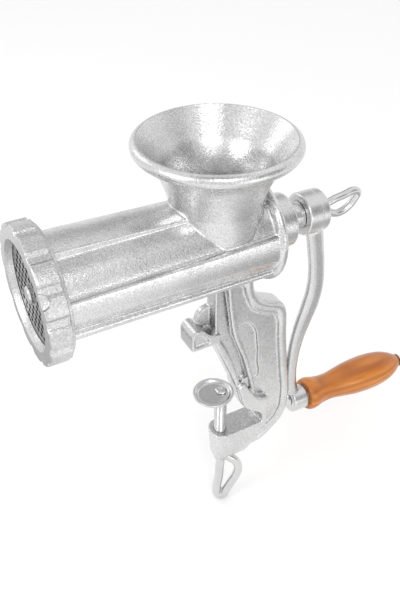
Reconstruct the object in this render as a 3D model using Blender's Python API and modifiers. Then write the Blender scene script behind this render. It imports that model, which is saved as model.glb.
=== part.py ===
"""Hand cranked meat grinder that clamps to the edge of a table.

Metres, Z up. The origin is the middle of the upper jaw's underside, which rests on the table's top.
X runs along the barrel, from the ring nut at -X to the crank at +X. Places along the barrel are
measured from the hopper's axis.
"""

import math

import bmesh
import bpy
from mathutils import Matrix, Vector

# Main layout
HOPPER_X = 0.0125
AXIS_Z = 0.079
JAW_GAP = 0.0945
LOWER_JAW_HEIGHT = 0.0275
CLEARANCE = 0.0003
OVERRUN = 0.004
MERGE = 0.00001
WELD = 0.00003

# Barrel
BARREL_RADIUS = 0.033
BARREL_LOW_RADIUS = 0.0294
TOP_BAND_RADIUS_FRONT = 0.0339
TOP_BAND_RADIUS_REAR = 0.03
TOP_BAND_HALF_WIDTH = 0.0132
BORE_RADIUS = 0.0265
MOUTH_LENGTH = 0.1185
MOUTH_PROUD = 0.0018
PLATE_RADIUS = 0.035
MOUTH_WALL = 0.0026
THREAD_RADIUS = PLATE_RADIUS + MOUTH_WALL
THREAD_LENGTH = 0.0092
LEDGE_ANGLE_FRONT = math.radians(15.5)
LEDGE_ANGLE_REAR = math.radians(18)
PANEL_LOW_RADIUS = 0.0306
PANEL_LOW_ANGLE_FRONT = math.radians(-22)
PANEL_LOW_ANGLE_REAR = math.radians(-29)
RIB_PATH_RADIUS = 0.031
RIB_ANGLE_FRONT = math.radians(-31)
RIB_ANGLE_REAR = math.radians(-37)
RIB_RADIUS_FRONT = 0.0035
RIB_RADIUS_REAR = 0.0025

# Rear wall and bearing boss
REAR_INNER = 0.024
WALL_FRONT = 0.0265
WALL_BACK = 0.0335
WALL_RADIUS = 0.0347
BOSS_RADIUS = 0.0182
BOSS_END = 0.0516
BUSH_WALL = 0.0027

# Hopper
RIM_HEIGHT = 0.0699
RIM_RADIUS = 0.0509
BEAD_RADIUS = 0.0043
BEAD_TUCK_ANGLE = math.radians(20)
NECK_RADIUS = 0.0288
NECK_LOW_SHARE = 0.4
HOPPER_WALL = 0.0042

# Leg and jaws
LEG_FRONT = -0.003
LEG_DEPTH = 0.066
LEG_THICKNESS = 0.013
LEG_RECESS = 0.0035
EDGE_BEAD_RADIUS = 0.0036
PAD_LENGTH = 0.019
PAD_HEIGHT = 0.016
PAD_WIDTH = 0.018
GUSSET_THICKNESS = 0.005
GUSSET_SHIFT = 0.0035
JAW_WIDTH = 0.0206
JAW_TAPER = 0.0018
JAW_NOSE = 0.0086
PAD_HOLLOW = 0.002

# Clamp screw and its swivel disc
SCREW_X = 0.0188
SCREW_RADIUS = 0.0046
SCREW_TIP_RADIUS = 0.0028
SCREW_HEAD_RADIUS = 0.0042
SCREW_HEAD_HEIGHT = 0.0022
DISC_DROP = 0.0533
DISC_SHIFT = -0.0064
DISC_RADIUS = 0.0152
DISC_FLOOR_RADIUS = 0.0112
DISC_THICKNESS = 0.0024
DISC_DISH = 0.0022
DISC_HUB_RADIUS = 0.0066
DISC_HUB_HEIGHT = 0.0035

# Feed screw, knife, plate and ring nut
SHAFT_RADIUS = 0.0095
WASHER_THICKNESS = 0.002
FLIGHT_CLEARANCE = 0.0005
CORE_RADIUS_REAR = 0.0098
CORE_RADIUS_FRONT = 0.0145
FLIGHT_ROOT_THICKNESS = 0.0062
FLIGHT_TIP_THICKNESS = 0.003
FLIGHT_TURNS = 3.75
FLIGHT_SLOWING_SHARE = 0.28
CORE_ROOT_SHARE = 0.8
PLATE_THICKNESS = 0.0055
PLATE_HOLE_RADIUS = 0.0019
PLATE_HOLE_PITCH = 0.0055
PLATE_RIM = 0.0052
KNIFE_THICKNESS = 0.0075
KNIFE_RADIUS = 0.0258
KNIFE_HUB_RADIUS = 0.0105
KNIFE_BLADE_SHARE = 0.62
KNIFE_VALLEY_SHARE = 0.94
KNIFE_ROOT_SHARE = 1.05
KNIFE_TIP_SHARES = [(-0.62, 0.9), (0.25, 0.985), (1.0, 0.97)]
STUD_RADIUS = 0.0055
STUD_SQUARE = 0.0104
STUD_SHANK_RADIUS = 0.006
STUD_SHANK_LENGTH = 0.012
STUD_PROUD = 0.0028
KEY_RADIUS = 0.0019
KEY_REACH = 0.0025
RING_WALL = 0.005
RING_RADIUS = THREAD_RADIUS + RING_WALL
RING_VALLEY = 0.0021
RING_LOBES = 14
RING_PHASE = math.radians(94)
RING_LOBE_SHARES = [(-0.5, 1.0), (-0.37, 0.9), (-0.27, 0.1), (0.0, 0.0), (0.27, 0.1), (0.37, 0.9)]
RING_LENGTH = 0.0156
RING_COLLAR = 0.0023
RING_COLLAR_WALL = 0.0019
RING_COLLAR_RADIUS = THREAD_RADIUS + RING_COLLAR_WALL
RING_LIP = 0.004
RING_LIP_REACH = 0.004
RING_APERTURE = PLATE_RADIUS - RING_LIP_REACH
RING_NOTCH_RADIUS = 0.0048
RING_NOTCH_DEPTH = 0.0034
RING_NOTCH_ANGLE = math.radians(152)

# Crank and handle
HUB_START = 0.0626
HUB_LENGTH = 0.017
SHAFT_SET_BACK = 0.002
HUB_RADIUS = 0.0146
SQUARE_SIZE = 0.0125
CRANK_DROP = 0.1745
CRANK_MIDDLE = 0.0762
ARM_WIDTH = 0.0132
ARM_THICKNESS = 0.0096
ARM_REACH = 0.02
CRANK_BOSS_RADIUS = 0.0098
CRANK_BOSS_LENGTH = 0.013
SPINDLE_RADIUS = 0.0032
HANDLE_TILT = math.radians(2.4)
HANDLE_LENGTH = 0.0968
HANDLE_RADIUS = 0.0146
HANDLE_WASHER_THICKNESS = 0.0012
HANDLE_WASHER_RADIUS = 0.0085
END_WASHER_RADIUS = 0.0055
SPINDLE_HEAD_RADIUS = 0.0044
SPINDLE_HEAD_LENGTH = 0.0022
RIVET_CROWN_SHARE = 0.7
RIVET_TAIL_SHARE = 0.8

# Thumb loops
CLAMP_LOOP_LENGTH = 0.0545
CLAMP_LOOP_WIRE = 0.0035
CLAMP_LOOP_TURN = math.radians(-28)
THUMB_LOOP_LENGTH = 0.031
THUMB_LOOP_WIRE = 0.0028
THUMB_LOOP_TURN = math.radians(-4)
THUMB_SHANK_RADIUS = 0.0037
THUMB_SHANK_LENGTH = 0.014
THUMB_COLLAR_RADIUS = 0.0066
THUMB_COLLAR_LENGTH = 0.0032

# Facets
STEPS = 40
SMALL_STEPS = 20

# The finger loops of the two thumb screws: across and along, as shares of their lengths
CLAMP_LOOP_SHARES = [(0.05, 0.03), (0.15, 0.08), (0.24, 0.17), (0.28, 0.3), (0.255, 0.46), (0.18, 0.64),
                     (0.115, 0.8), (0.06, 0.915), (-0.01, 0.9), (-0.03, 0.77), (0.0, 0.48), (0.015, 0.2)]
THUMB_LOOP_SHARES = [(-0.04, 0.1), (0.12, 0.17), (0.23, 0.32), (0.27, 0.5), (0.2, 0.7), (0.02, 0.87),
                     (-0.14, 0.93), (-0.21, 0.83), (-0.17, 0.55), (-0.11, 0.22)]

# The leg seen from the side: x as a share of its depth, level as explained at level()
THROAT_SHARES = [(0.061, 0.138), (0.117, 0.233), (0.173, 0.333), (0.227, 0.434), (0.283, 0.545),
                 (0.306, 0.614), (0.371, 0.762), (0.455, 0.83), (0.545, 0.872), (0.6, 0.915), (0.617, 0.965)]
THROAT_FOOT_SHARES = (0.615, 1.0)
LEG_TOP_SHARE = -0.646
LEG_INSIDE_SHARES = [(0.3, 1.06), (0.36, 1.84)]
LEG_REAR_SHARE = 0.44
LEG_OUTER_SHARES = [(0.62, 1.87), (0.79, 1.61), (0.955, 1.16), (1.0, 0.857), (0.945, 0.455), (0.894, 0.14),
                    (0.885, 0.01), (0.872, -0.1), (0.822, -0.178), (0.735, -0.212), (0.612, -0.262),
                    (0.53, -0.32), (0.447, -0.45)]
EDGE_BEAD_SHARES = [(0.385, -0.643), (0.39, -0.53), (0.404, -0.435), (0.438, -0.36), (0.5, -0.285),
                    (0.6, -0.225), (0.731, -0.174), (0.788, -0.143), (0.824, -0.085), (0.841, 0.015),
                    (0.85, 0.14),
                    (0.898, 0.455), (0.954, 0.857), (0.914, 1.09), (0.765, 1.49), (0.606, 1.73), (0.45, 1.73)]
CHANNEL_SHARES = [(0.03, -0.54), (0.03, -0.09), (0.064, 0.007), (0.133, 0.106), (0.205, 0.225),
                  (0.255, 0.333), (0.308, 0.462), (0.4, 0.6), (0.495, 0.69), (0.505, 0.67), (0.371, 0.275),
                  (0.242, 0.01),
                  (0.15, -0.54)]
LEAF_SHARES = [(0.28, -0.03), (0.388, -0.07), (0.5, 0.01), (0.553, 0.17), (0.568, 0.35), (0.545, 0.54),
               (0.462, 0.39), (0.356, 0.17), (0.295, 0.042)]
ROOT_TOP_SHARES = [(0.66, 0.745), (0.55, 0.71), (0.44, 0.6), (0.35, 0.515)]
ROOT_BACK_SHARE = 0.69

# The lower jaw: its level, how far its sides lean in, the reach of its nose, and where its back lies
JAW_SHARES = [(0.0, 0.0, 1.0, 0.68), (0.55, 0.55, 0.91, 0.6), (0.86, 0.86, 0.84, 0.47),
              (1.0, 1.35, 0.7, 0.42)]

# The pad and its gusset: x as a share of the pad's length, height as a share of its height
PAD_SHARES = [(0.0, 0.0), (0.0, 0.62), (0.07, 0.86), (0.24, 1.0), (0.5, 0.9), (0.74, 0.6), (1.0, 0.45)]
PAD_HOLLOW_SHARES = [(0.12, 0.16), (0.1, 0.55), (0.15, 0.73), (0.29, 0.82), (0.5, 0.7), (0.66, 0.42),
                     (0.76, 0.16)]
GUSSET_SHARES = [(0.42, 0.7), (0.45, 1.0), (0.52, 1.3), (0.62, 1.48), (0.78, 1.58), (1.02, 1.63)]

# The crank's arm: its drop, its reach beyond the rear of the hub, its width
ARM_SHARES = [(0.058, 0.6, 0.72), (0.095, 0.725, 1.02), (0.178, 0.87, 0.97), (0.281, 1.0, 0.97),
              (0.379, 1.02, 1.02), (0.459, 0.885, 1.05), (0.545, 0.65, 0.95), (0.614, 0.485, 0.86),
              (0.729, 0.335, 0.76),
              (0.861, 0.34, 0.74), (0.935, 0.47, 0.76), (0.98, 0.66, 0.68)]

# The wooden handle: along and radius, as shares of its length and of its largest radius
HANDLE_SHARES = [(0.0, 0.8), (0.012, 0.865), (0.045, 0.9), (0.08, 0.865), (0.13, 0.785), (0.2, 0.735),
                 (0.27, 0.75), (0.36, 0.84), (0.46, 0.94), (0.56, 0.99), (0.66, 1.0), (0.76, 0.95),
                 (0.85, 0.83),
                 (0.925, 0.63), (0.975, 0.43), (1.0, 0.33)]

# The hopper's outer side from its neck up: radius share from neck to rim, height share from axis to rim
HOPPER_SHARES = [(0.0128, 0.36), (0.0513, 0.45), (0.1667, 0.56), (0.3077, 0.65), (0.4872, 0.74),
                 (0.7179, 0.82)]

IRON = ("tinned_iron", (0.72, 0.72, 0.71), 0.33, 1.0)
STEEL = ("bright_steel", (0.62, 0.62, 0.62), 0.25, 1.0)
BRASS = ("bearing_bronze", (0.6, 0.43, 0.2), 0.4, 1.0)
FIBRE = ("washer_fibre", (0.45, 0.2, 0.12), 0.7, 0.0)
WOOD = ("varnished_beech", (0.68, 0.3, 0.08), 0.28, 0.0)


def clear_scene():
    for old in list(bpy.data.objects):
        bpy.data.objects.remove(old, do_unlink=True)


def new_collection(name):
    made = bpy.data.collections.new(name)
    bpy.context.scene.collection.children.link(made)
    return made


def new_material(finish):
    name, colour, roughness, metallic = finish
    made = bpy.data.materials.new(name)
    made.use_nodes = True
    shader = made.node_tree.nodes["Principled BSDF"]
    shader.inputs["Base Color"].default_value = (*colour, 1.0)
    shader.inputs["Roughness"].default_value = roughness
    shader.inputs["Metallic"].default_value = metallic
    return made


clear_scene()
PARTS = new_collection("meat_grinder")
CUTTERS = new_collection("cutters")


def level(share):
    """Height of a level: -1 the barrel's axis, 0 the upper jaw, 1 the lower jaw's top, 2 its foot."""
    if share <= 0:
        return -share * AXIS_Z
    if share <= 1:
        return -share * JAW_GAP
    return -JAW_GAP - (share - 1) * LOWER_JAW_HEIGHT


def leg_point(x_share, level_share):
    return HOPPER_X + LEG_FRONT + x_share * LEG_DEPTH, level(level_share)


def add_piece(name, mesh, finish):
    """A part of the object, in its own collection and with its own material."""
    made = bpy.data.objects.new(name, mesh)
    PARTS.objects.link(made)
    mesh.materials.clear()
    mesh.materials.append(new_material((name + "_" + finish[0], *finish[1:])))
    return made


def add_tool(name, mesh):
    """A form that is only joined to a part or cut out of it."""
    made = bpy.data.objects.new(name, mesh)
    CUTTERS.objects.link(made)
    made.hide_render = True
    made.display_type = "WIRE"
    return made


def frozen(source, as_triangles=False):
    """The evaluated mesh of an object in world space, welded; the object is removed."""
    bpy.context.view_layer.update()
    graph = bpy.context.evaluated_depsgraph_get()
    mesh = bpy.data.meshes.new_from_object(source.evaluated_get(graph))
    mesh.transform(source.matrix_world)
    bpy.data.objects.remove(source, do_unlink=True)
    work = bmesh.new()
    work.from_mesh(mesh)
    bmesh.ops.remove_doubles(work, verts=work.verts, dist=MERGE)
    if as_triangles:
        bmesh.ops.triangulate(work, faces=work.faces)
    work.to_mesh(mesh)
    work.free()
    return mesh


def turned(profile, closed, steps, matrix):
    """Turns a profile of (radius, height) points about Z. An open profile starts and ends on the axis."""
    mesh = bpy.data.meshes.new("profile")
    points = [(radius, 0.0, height) for radius, height in profile]
    edges = [(i, i + 1) for i in range(len(points) - 1)]
    if closed:
        edges.append((len(points) - 1, 0))
    mesh.from_pydata(points, edges, [])
    source = bpy.data.objects.new("profile", mesh)
    CUTTERS.objects.link(source)
    screw = source.modifiers.new("Screw", "SCREW")
    screw.axis = "Z"
    screw.angle = math.tau
    screw.steps = steps
    screw.render_steps = steps
    screw.use_merge_vertices = True
    screw.merge_threshold = MERGE
    source.matrix_world = matrix
    made = frozen(source)
    made.shade_smooth()
    made.set_sharp_from_angle(angle=math.radians(35))
    return made


def along_x(x=0.0, y=0.0, z=0.0):
    """Local Z becomes the barrel's X."""
    return Matrix.Translation((HOPPER_X + x, y, AXIS_Z + z)) @ Matrix.Rotation(math.pi / 2, 4, "Y")


def upright(x=0.0, y=0.0, z=0.0):
    return Matrix.Translation((HOPPER_X + x, y, AXIS_Z + z))


def along_screw():
    """Local Z runs up the clamp screw, from the level of the table's top."""
    return Matrix.Translation((SCREW_X, 0, 0))


def along_handle():
    """Local Z runs out along the handle's spindle, from the middle of the crank's lower boss."""
    turn = Matrix.Rotation(math.pi / 2 + HANDLE_TILT, 4, "Y")
    return Matrix.Translation((HOPPER_X + CRANK_MIDDLE, 0, AXIS_Z - CRANK_DROP)) @ turn


def rod(radius, start, end, steps, matrix):
    return turned([(0, end), (radius, end), (radius, start), (0, start)], False, steps, matrix)


def tube_ring(outer, inner, start, end, steps, matrix):
    return turned([(outer, end), (outer, start), (inner, start), (inner, end)], True, steps, matrix)


def fill_outline(loops, half_thickness, matrix):
    """A flat outline, with any holes, as a filled 2D curve with thickness.

    Each loop is a list of (across, up, smooth) points. Local XY is the outline's plane.
    """
    curve = bpy.data.curves.new("outline", "CURVE")
    curve.dimensions = "2D"
    curve.fill_mode = "BOTH"
    curve.extrude = half_thickness
    for loop in loops:
        round_loop = any(smooth for _, _, smooth in loop)
        spline = curve.splines.new("BEZIER" if round_loop else "POLY")
        spline.use_cyclic_u = True
        if round_loop:
            spline.resolution_u = 3
            spline.bezier_points.add(len(loop) - 1)
            for knot, (across, up, smooth) in zip(spline.bezier_points, loop):
                knot.co = (across, up, 0)
                kind = "AUTO" if smooth else "VECTOR"
                knot.handle_left_type = kind
                knot.handle_right_type = kind
        else:
            spline.points.add(len(loop) - 1)
            for knot, (across, up, _) in zip(spline.points, loop):
                knot.co = (across, up, 0, 1)
    source = bpy.data.objects.new("outline", curve)
    CUTTERS.objects.link(source)
    source.matrix_world = matrix
    return frozen(source)


def side_view(y=0.0):
    """Outline plane XZ: local Y becomes up, and the thickness runs along Y."""
    return Matrix.Translation((0, y, 0)) @ Matrix.Rotation(math.pi / 2, 4, "X")


def barrel_section(start, end):
    """Outline plane YZ about the barrel's axis, with the thickness between two places along X."""
    turn = Matrix.Rotation(math.pi / 2, 4, "Z") @ Matrix.Rotation(math.pi / 2, 4, "X")
    return Matrix.Translation((HOPPER_X + (start + end) / 2, 0, AXIS_Z)) @ turn


def wire(points, radius, cyclic, matrix, resolution=2, widths=None):
    """A round wire or tube along a smooth path; widths scale its radius at each point."""
    curve = bpy.data.curves.new("wire", "CURVE")
    curve.dimensions = "3D"
    curve.bevel_depth = radius
    curve.bevel_resolution = resolution
    curve.use_fill_caps = not cyclic
    spline = curve.splines.new("BEZIER")
    spline.use_cyclic_u = cyclic
    spline.resolution_u = 4
    spline.bezier_points.add(len(points) - 1)
    for knot, place, width in zip(spline.bezier_points, points, widths or [1.0] * len(points)):
        knot.co = place
        knot.radius = width
        knot.handle_left_type = "AUTO"
        knot.handle_right_type = "AUTO"
    source = bpy.data.objects.new("wire", curve)
    CUTTERS.objects.link(source)
    source.matrix_world = matrix
    return frozen(source, True)


def block(size, centre, matrix):
    work = bmesh.new()
    bmesh.ops.create_cube(work, size=1.0)
    work.transform(matrix @ Matrix.Translation(centre) @ Matrix.Diagonal((*size, 1.0)))
    mesh = bpy.data.meshes.new("block")
    work.to_mesh(mesh)
    work.free()
    return mesh


def loft(rings):
    """Joins rings of equal counts into one closed body."""
    work = bmesh.new()
    rows = [[work.verts.new(point) for point in ring] for ring in rings]
    count = len(rows[0])
    for low, high in zip(rows, rows[1:]):
        for i in range(count):
            j = (i + 1) % count
            work.faces.new((low[i], low[j], high[j], high[i]))
    work.faces.new(list(reversed(rows[0])))
    work.faces.new(rows[-1])
    bmesh.ops.triangulate(work, faces=work.faces)
    bmesh.ops.recalc_face_normals(work, faces=work.faces)
    mesh = bpy.data.meshes.new("loft")
    work.to_mesh(mesh)
    work.free()
    return mesh


def combine(piece, operation, tools, welded=True):
    """Joins forms to a piece or cuts them out of it, in order."""
    for name, mesh in tools:
        tool = add_tool(name, mesh)
        step = piece.modifiers.new(name, "BOOLEAN")
        step.operation = operation
        step.solver = "EXACT"
        step.object = tool
        if welded:
            weld = piece.modifiers.new(name + "_weld", "WELD")
            weld.merge_threshold = WELD


def arc(radius, start, end, steps):
    """Points on a circle, both ends included."""
    turns = [start + (end - start) * i / steps for i in range(steps + 1)]
    return [(radius * math.cos(turn), radius * math.sin(turn)) for turn in turns]


def circle(radius, steps, x=0.0, y=0.0, phase=0.0):
    turns = [phase + math.tau * i / steps for i in range(steps)]
    return [(x + radius * math.cos(turn), y + radius * math.sin(turn), False) for turn in turns]


def smooth_run(points):
    return [(x, z, True) for x, z in points]


def corners(points):
    return [(x, z, False) for x, z in points]


# Barrel and hopper


def between(front, rear, share):
    return front + (rear - front) * share


def barrel_half_outline(share):
    """The barrel's outside on the +Y side, top to bottom, at a share of its length from the front: a top band
    that falls to the rear, a lower band, a ledge over the side panel, and a rounded rib at its foot."""
    top_radius = between(TOP_BAND_RADIUS_FRONT, TOP_BAND_RADIUS_REAR, share)
    ledge_angle = between(LEDGE_ANGLE_FRONT, LEDGE_ANGLE_REAR, share)
    panel_low = between(PANEL_LOW_ANGLE_FRONT, PANEL_LOW_ANGLE_REAR, share)
    rib_angle = between(RIB_ANGLE_FRONT, RIB_ANGLE_REAR, share)
    rib_radius = between(RIB_RADIUS_FRONT, RIB_RADIUS_REAR, share)
    ledge_height = BARREL_RADIUS * math.sin(ledge_angle)
    points = arc(top_radius, math.pi / 2, math.acos(TOP_BAND_HALF_WIDTH / top_radius), 3)
    low = BARREL_LOW_RADIUS
    points += arc(low, math.acos(TOP_BAND_HALF_WIDTH / low), math.asin(ledge_height / low), 6)
    points += arc(BARREL_RADIUS, ledge_angle, panel_low / 3, 3)
    points.append((PANEL_LOW_RADIUS * math.cos(panel_low), PANEL_LOW_RADIUS * math.sin(panel_low)))
    rib_x = RIB_PATH_RADIUS * math.cos(rib_angle)
    rib_z = RIB_PATH_RADIUS * math.sin(rib_angle)
    rib = arc(rib_radius, rib_angle + math.radians(105), rib_angle - math.radians(80), 6)
    points += [(rib_x + x, rib_z + z) for x, z in rib]
    points += arc(low, rib_angle - math.radians(10), -math.pi / 2, 5)
    return points


def barrel_mesh():
    start = THREAD_LENGTH - MOUTH_LENGTH - OVERRUN / 4
    end = WALL_FRONT + OVERRUN / 2
    rings = []
    for share, x in ((0, start), (1, end)):
        half = barrel_half_outline(share)
        ring = half + [(-y, z) for y, z in reversed(half[1:-1])]
        rings.append([(HOPPER_X + x, y, AXIS_Z + z) for y, z in ring])
    return loft(rings)


def hopper_outer():
    """Points up the hopper's outside, from inside the barrel to under the bead."""
    spread = RIM_RADIUS - BEAD_RADIUS - NECK_RADIUS
    run = [(NECK_RADIUS, 0.0)]
    run += [(NECK_RADIUS + share * spread, up * RIM_HEIGHT) for share, up in HOPPER_SHARES]
    return run


def hopper_profile():
    """Outer side from the rim's bead down, closed on the axis."""
    centre_r = RIM_RADIUS - BEAD_RADIUS
    centre_z = RIM_HEIGHT - BEAD_RADIUS
    tuck = arc(BEAD_RADIUS, math.pi / 2, -math.pi / 2 - BEAD_TUCK_ANGLE, 8)
    bead = [(centre_r + r, centre_z + z) for r, z in tuck]
    return [(0, RIM_HEIGHT)] + bead + list(reversed(hopper_outer())) + [(0, 0.0)]


def hopper_void_profile():
    """The bowl and neck inside the hopper's wall, down into the chamber."""
    inner = [(radius - HOPPER_WALL, height) for radius, height in reversed(hopper_outer()[1:])]
    mouth_r = RIM_RADIUS - BEAD_RADIUS - HOPPER_WALL / 5
    top = [(0, RIM_HEIGHT + OVERRUN), (mouth_r + OVERRUN / 2, RIM_HEIGHT + OVERRUN),
           (mouth_r, RIM_HEIGHT - OVERRUN / 4)]
    neck = NECK_RADIUS - HOPPER_WALL
    return top + inner + [(neck, AXIS_NECK_LOW), (0, AXIS_NECK_LOW)]


AXIS_NECK_LOW = BORE_RADIUS * NECK_LOW_SHARE


def rear_wall_profile():
    edge = (WALL_BACK - WALL_FRONT) / 3
    return [(0, BOSS_END), (BOSS_RADIUS - edge / 2, BOSS_END), (BOSS_RADIUS, BOSS_END - edge / 2),
            (BOSS_RADIUS, WALL_BACK + edge), (BOSS_RADIUS + edge, WALL_BACK + edge / 4),
            (WALL_RADIUS - edge, WALL_BACK), (WALL_RADIUS, WALL_BACK - edge),
            (WALL_RADIUS, WALL_FRONT + edge),
            (WALL_RADIUS - edge, WALL_FRONT), (0, WALL_FRONT)]


def bore_profile():
    """Chamber, plate seat and bearing hole, cut as one turned form."""
    seat = PLATE_RADIUS + CLEARANCE
    hole = SHAFT_RADIUS + CLEARANCE + BUSH_WALL + CLEARANCE
    mouth = -MOUTH_LENGTH
    floor = mouth + PLATE_THICKNESS - MOUTH_PROUD + CLEARANCE
    return [(0, BOSS_END + OVERRUN), (hole, BOSS_END + OVERRUN), (hole, REAR_INNER),
            (BORE_RADIUS, REAR_INNER),
            (BORE_RADIUS, floor), (seat, floor), (seat, mouth - OVERRUN),
            (0, mouth - OVERRUN)]


# Leg and jaws


def leg_mesh():
    run = corners([leg_point(0, LEG_TOP_SHARE), leg_point(0, 0)])
    run += smooth_run([leg_point(*share) for share in THROAT_SHARES])
    run += corners([leg_point(*share) for share in [THROAT_FOOT_SHARES] + LEG_INSIDE_SHARES])
    run += smooth_run([leg_point(*share) for share in LEG_OUTER_SHARES])
    run += corners([leg_point(LEG_REAR_SHARE, LEG_TOP_SHARE)])
    return fill_outline([run], LEG_THICKNESS / 2, side_view())


def root_mesh():
    """The leg's foot, as wide as the lower jaw."""
    inset = CLEARANCE * 2
    run = [(x + inset, z) for x, z in [leg_point(*share) for share in THROAT_SHARES[4:]]]
    foot_x, foot_z = leg_point(*THROAT_FOOT_SHARES)
    back_x = leg_point(ROOT_BACK_SHARE, 1.0)[0]
    low = foot_z - LOWER_JAW_HEIGHT / 4
    loop = corners(run[:1]) + smooth_run(run[1:]) + corners([(foot_x + inset, foot_z), (foot_x + inset, low)])
    loop += corners([(back_x, low), (back_x, level(ROOT_TOP_SHARES[0][1]))])
    loop += smooth_run([leg_point(*share) for share in ROOT_TOP_SHARES])
    return fill_outline([loop], JAW_WIDTH / 2 - CLEARANCE, side_view())


def lower_jaw_mesh():
    """A nose round the clamp screw, running back into the leg and narrowing downwards."""
    rings = []
    for share, inset_share, nose_share, back_share in JAW_SHARES:
        half = JAW_WIDTH / 2 - JAW_TAPER * inset_share
        back = leg_point(back_share, 1.0)[0]
        height = -JAW_GAP - LOWER_JAW_HEIGHT * share
        nose = [(SCREW_X + x * JAW_NOSE * nose_share, y * half, height) for x,
                y in arc(1, math.pi / 2, math.pi * 1.5, 12)]
        rings.append(nose + [(back, -half, height), (back, half, height)])
    return loft(rings)


def pad_points(shares):
    pad_x = HOPPER_X + LEG_FRONT - PAD_LENGTH
    return [(pad_x + x * PAD_LENGTH, z * PAD_HEIGHT) for x, z in shares]


def pad_mesh():
    loop = pad_points(PAD_SHARES)
    back = HOPPER_X + LEG_FRONT + LEG_THICKNESS / 4
    run = corners(loop[:2]) + smooth_run(loop[2:6]) + corners([loop[6], (back, loop[6][1]), (back, 0.0)])
    return fill_outline([run], PAD_WIDTH / 2, side_view())


def pad_hollow_mesh(side):
    """The arched hollow in one end of the pad."""
    loop = pad_points(PAD_HOLLOW_SHARES)
    run = corners(loop[:2]) + smooth_run(loop[2:5]) + corners(loop[5:])
    return fill_outline([run], PAD_HOLLOW, side_view(side * PAD_WIDTH / 2))


def gusset_mesh():
    """The web between the pad and the leg, which stands towards the far side."""
    loop = pad_points(GUSSET_SHARES)
    back = loop[-1][0] + OVERRUN / 4
    run = corners(loop[:1]) + smooth_run(loop[1:5]) + corners([loop[5], (back, loop[5][1]),
                                                               (back, loop[0][1])])
    return fill_outline([run], GUSSET_THICKNESS / 2, side_view(GUSSET_SHIFT))


def leg_recess_mesh(shares, side):
    """A recess in one face of the leg."""
    loop = [leg_point(*share) for share in shares]
    middle = side * (LEG_THICKNESS / 2 - LEG_RECESS + OVERRUN)
    return fill_outline([corners(loop[:2]) + smooth_run(loop[2:-2]) + corners(loop[-2:])], OVERRUN,
                        side_view(middle))


def leg_leaf_mesh(side):
    middle = side * (LEG_THICKNESS / 2 - LEG_RECESS + OVERRUN)
    return fill_outline([smooth_run([leg_point(*share) for share in LEAF_SHARES])], OVERRUN,
                        side_view(middle))


def edge_bead_mesh(side):
    """The rounded bead round the leg's outer edge, one on each face."""
    run = [leg_point(*share) for share in EDGE_BEAD_SHARES]
    y = side * (LEG_THICKNESS / 2 - EDGE_BEAD_RADIUS / 2)
    return wire([(x, y, z) for x, z in run], EDGE_BEAD_RADIUS, False, Matrix.Identity(4), 1)


def body_casting():
    piece = add_piece("body_casting", barrel_mesh(), IRON)
    flange = -MOUTH_LENGTH
    combine(piece, "UNION", [
        ("rear_wall_form", turned(rear_wall_profile(), False, STEPS, along_x())),
        ("mouth_form", rod(THREAD_RADIUS, flange, flange + THREAD_LENGTH, STEPS, along_x())),
        ("leg_form", leg_mesh()),
        ("root_form", root_mesh()),
        ("lower_jaw_form", lower_jaw_mesh()),
        ("pad_form", pad_mesh()),
        ("gusset_form", gusset_mesh()),
    ])
    combine(piece, "DIFFERENCE", [
        ("channel_cut_left", leg_recess_mesh(CHANNEL_SHARES, 1)),
        ("channel_cut_right", leg_recess_mesh(CHANNEL_SHARES, -1)),
        ("leaf_cut_left", leg_leaf_mesh(1)),
        ("leaf_cut_right", leg_leaf_mesh(-1)),
        ("pad_cut_left", pad_hollow_mesh(1)),
        ("pad_cut_right", pad_hollow_mesh(-1)),
    ])
    combine(piece, "UNION", [("hopper_form", turned(hopper_profile(), False, STEPS, upright()))])
    screw_hole = SCREW_RADIUS + CLEARANCE
    key_top = -(PLATE_RADIUS + CLEARANCE) + OVERRUN
    key_hole = turned([(0, key_top), (KEY_RADIUS + CLEARANCE, key_top),
                       (KEY_RADIUS + CLEARANCE, -THREAD_RADIUS - OVERRUN), (0, -THREAD_RADIUS - OVERRUN)],
                      False, 12, upright(x=KEY_X))
    combine(piece, "DIFFERENCE", [
        ("bore_cut", turned(bore_profile(), False, STEPS, along_x())),
        ("hopper_cut", turned(hopper_void_profile(), False, STEPS, upright())),
        ("screw_cut", rod(screw_hole, -JAW_GAP - LOWER_JAW_HEIGHT - 2 * OVERRUN, -JAW_GAP + OVERRUN,
                          SMALL_STEPS,
                          along_screw())),
        ("key_cut", key_hole),
    ])
    combine(piece, "UNION", [("bead_form_left", edge_bead_mesh(1)), ("bead_form_right", edge_bead_mesh(-1))])


# Places along the barrel's axis, from the ring nut's lip back to the feed screw
PLATE_FRONT = -(MOUTH_LENGTH + MOUTH_PROUD)
PLATE_BACK = PLATE_FRONT + PLATE_THICKNESS
KNIFE_BACK = PLATE_BACK + CLEARANCE + KNIFE_THICKNESS
FEED_FRONT = KNIFE_BACK + CLEARANCE
FEED_BACK = REAR_INNER - WASHER_THICKNESS - 2 * CLEARANCE
RING_FRONT = PLATE_FRONT - CLEARANCE - RING_LIP
SHAFT_END = HUB_START + HUB_LENGTH - SHAFT_SET_BACK
KEY_X = PLATE_FRONT + PLATE_THICKNESS / 2


def rear_bearing_bush():
    inner = SHAFT_RADIUS + CLEARANCE
    add_piece("rear_bearing_bush", tube_ring(inner + BUSH_WALL, inner, REAR_INNER + CLEARANCE, BOSS_END,
                                             STEPS, along_x()),
              BRASS)


def plate_locating_pin():
    top = -(PLATE_RADIUS - KEY_REACH) - CLEARANCE
    add_piece("plate_locating_pin", rod(KEY_RADIUS, -THREAD_RADIUS + CLEARANCE, top, 12, upright(x=KEY_X)),
              STEEL)


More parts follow.
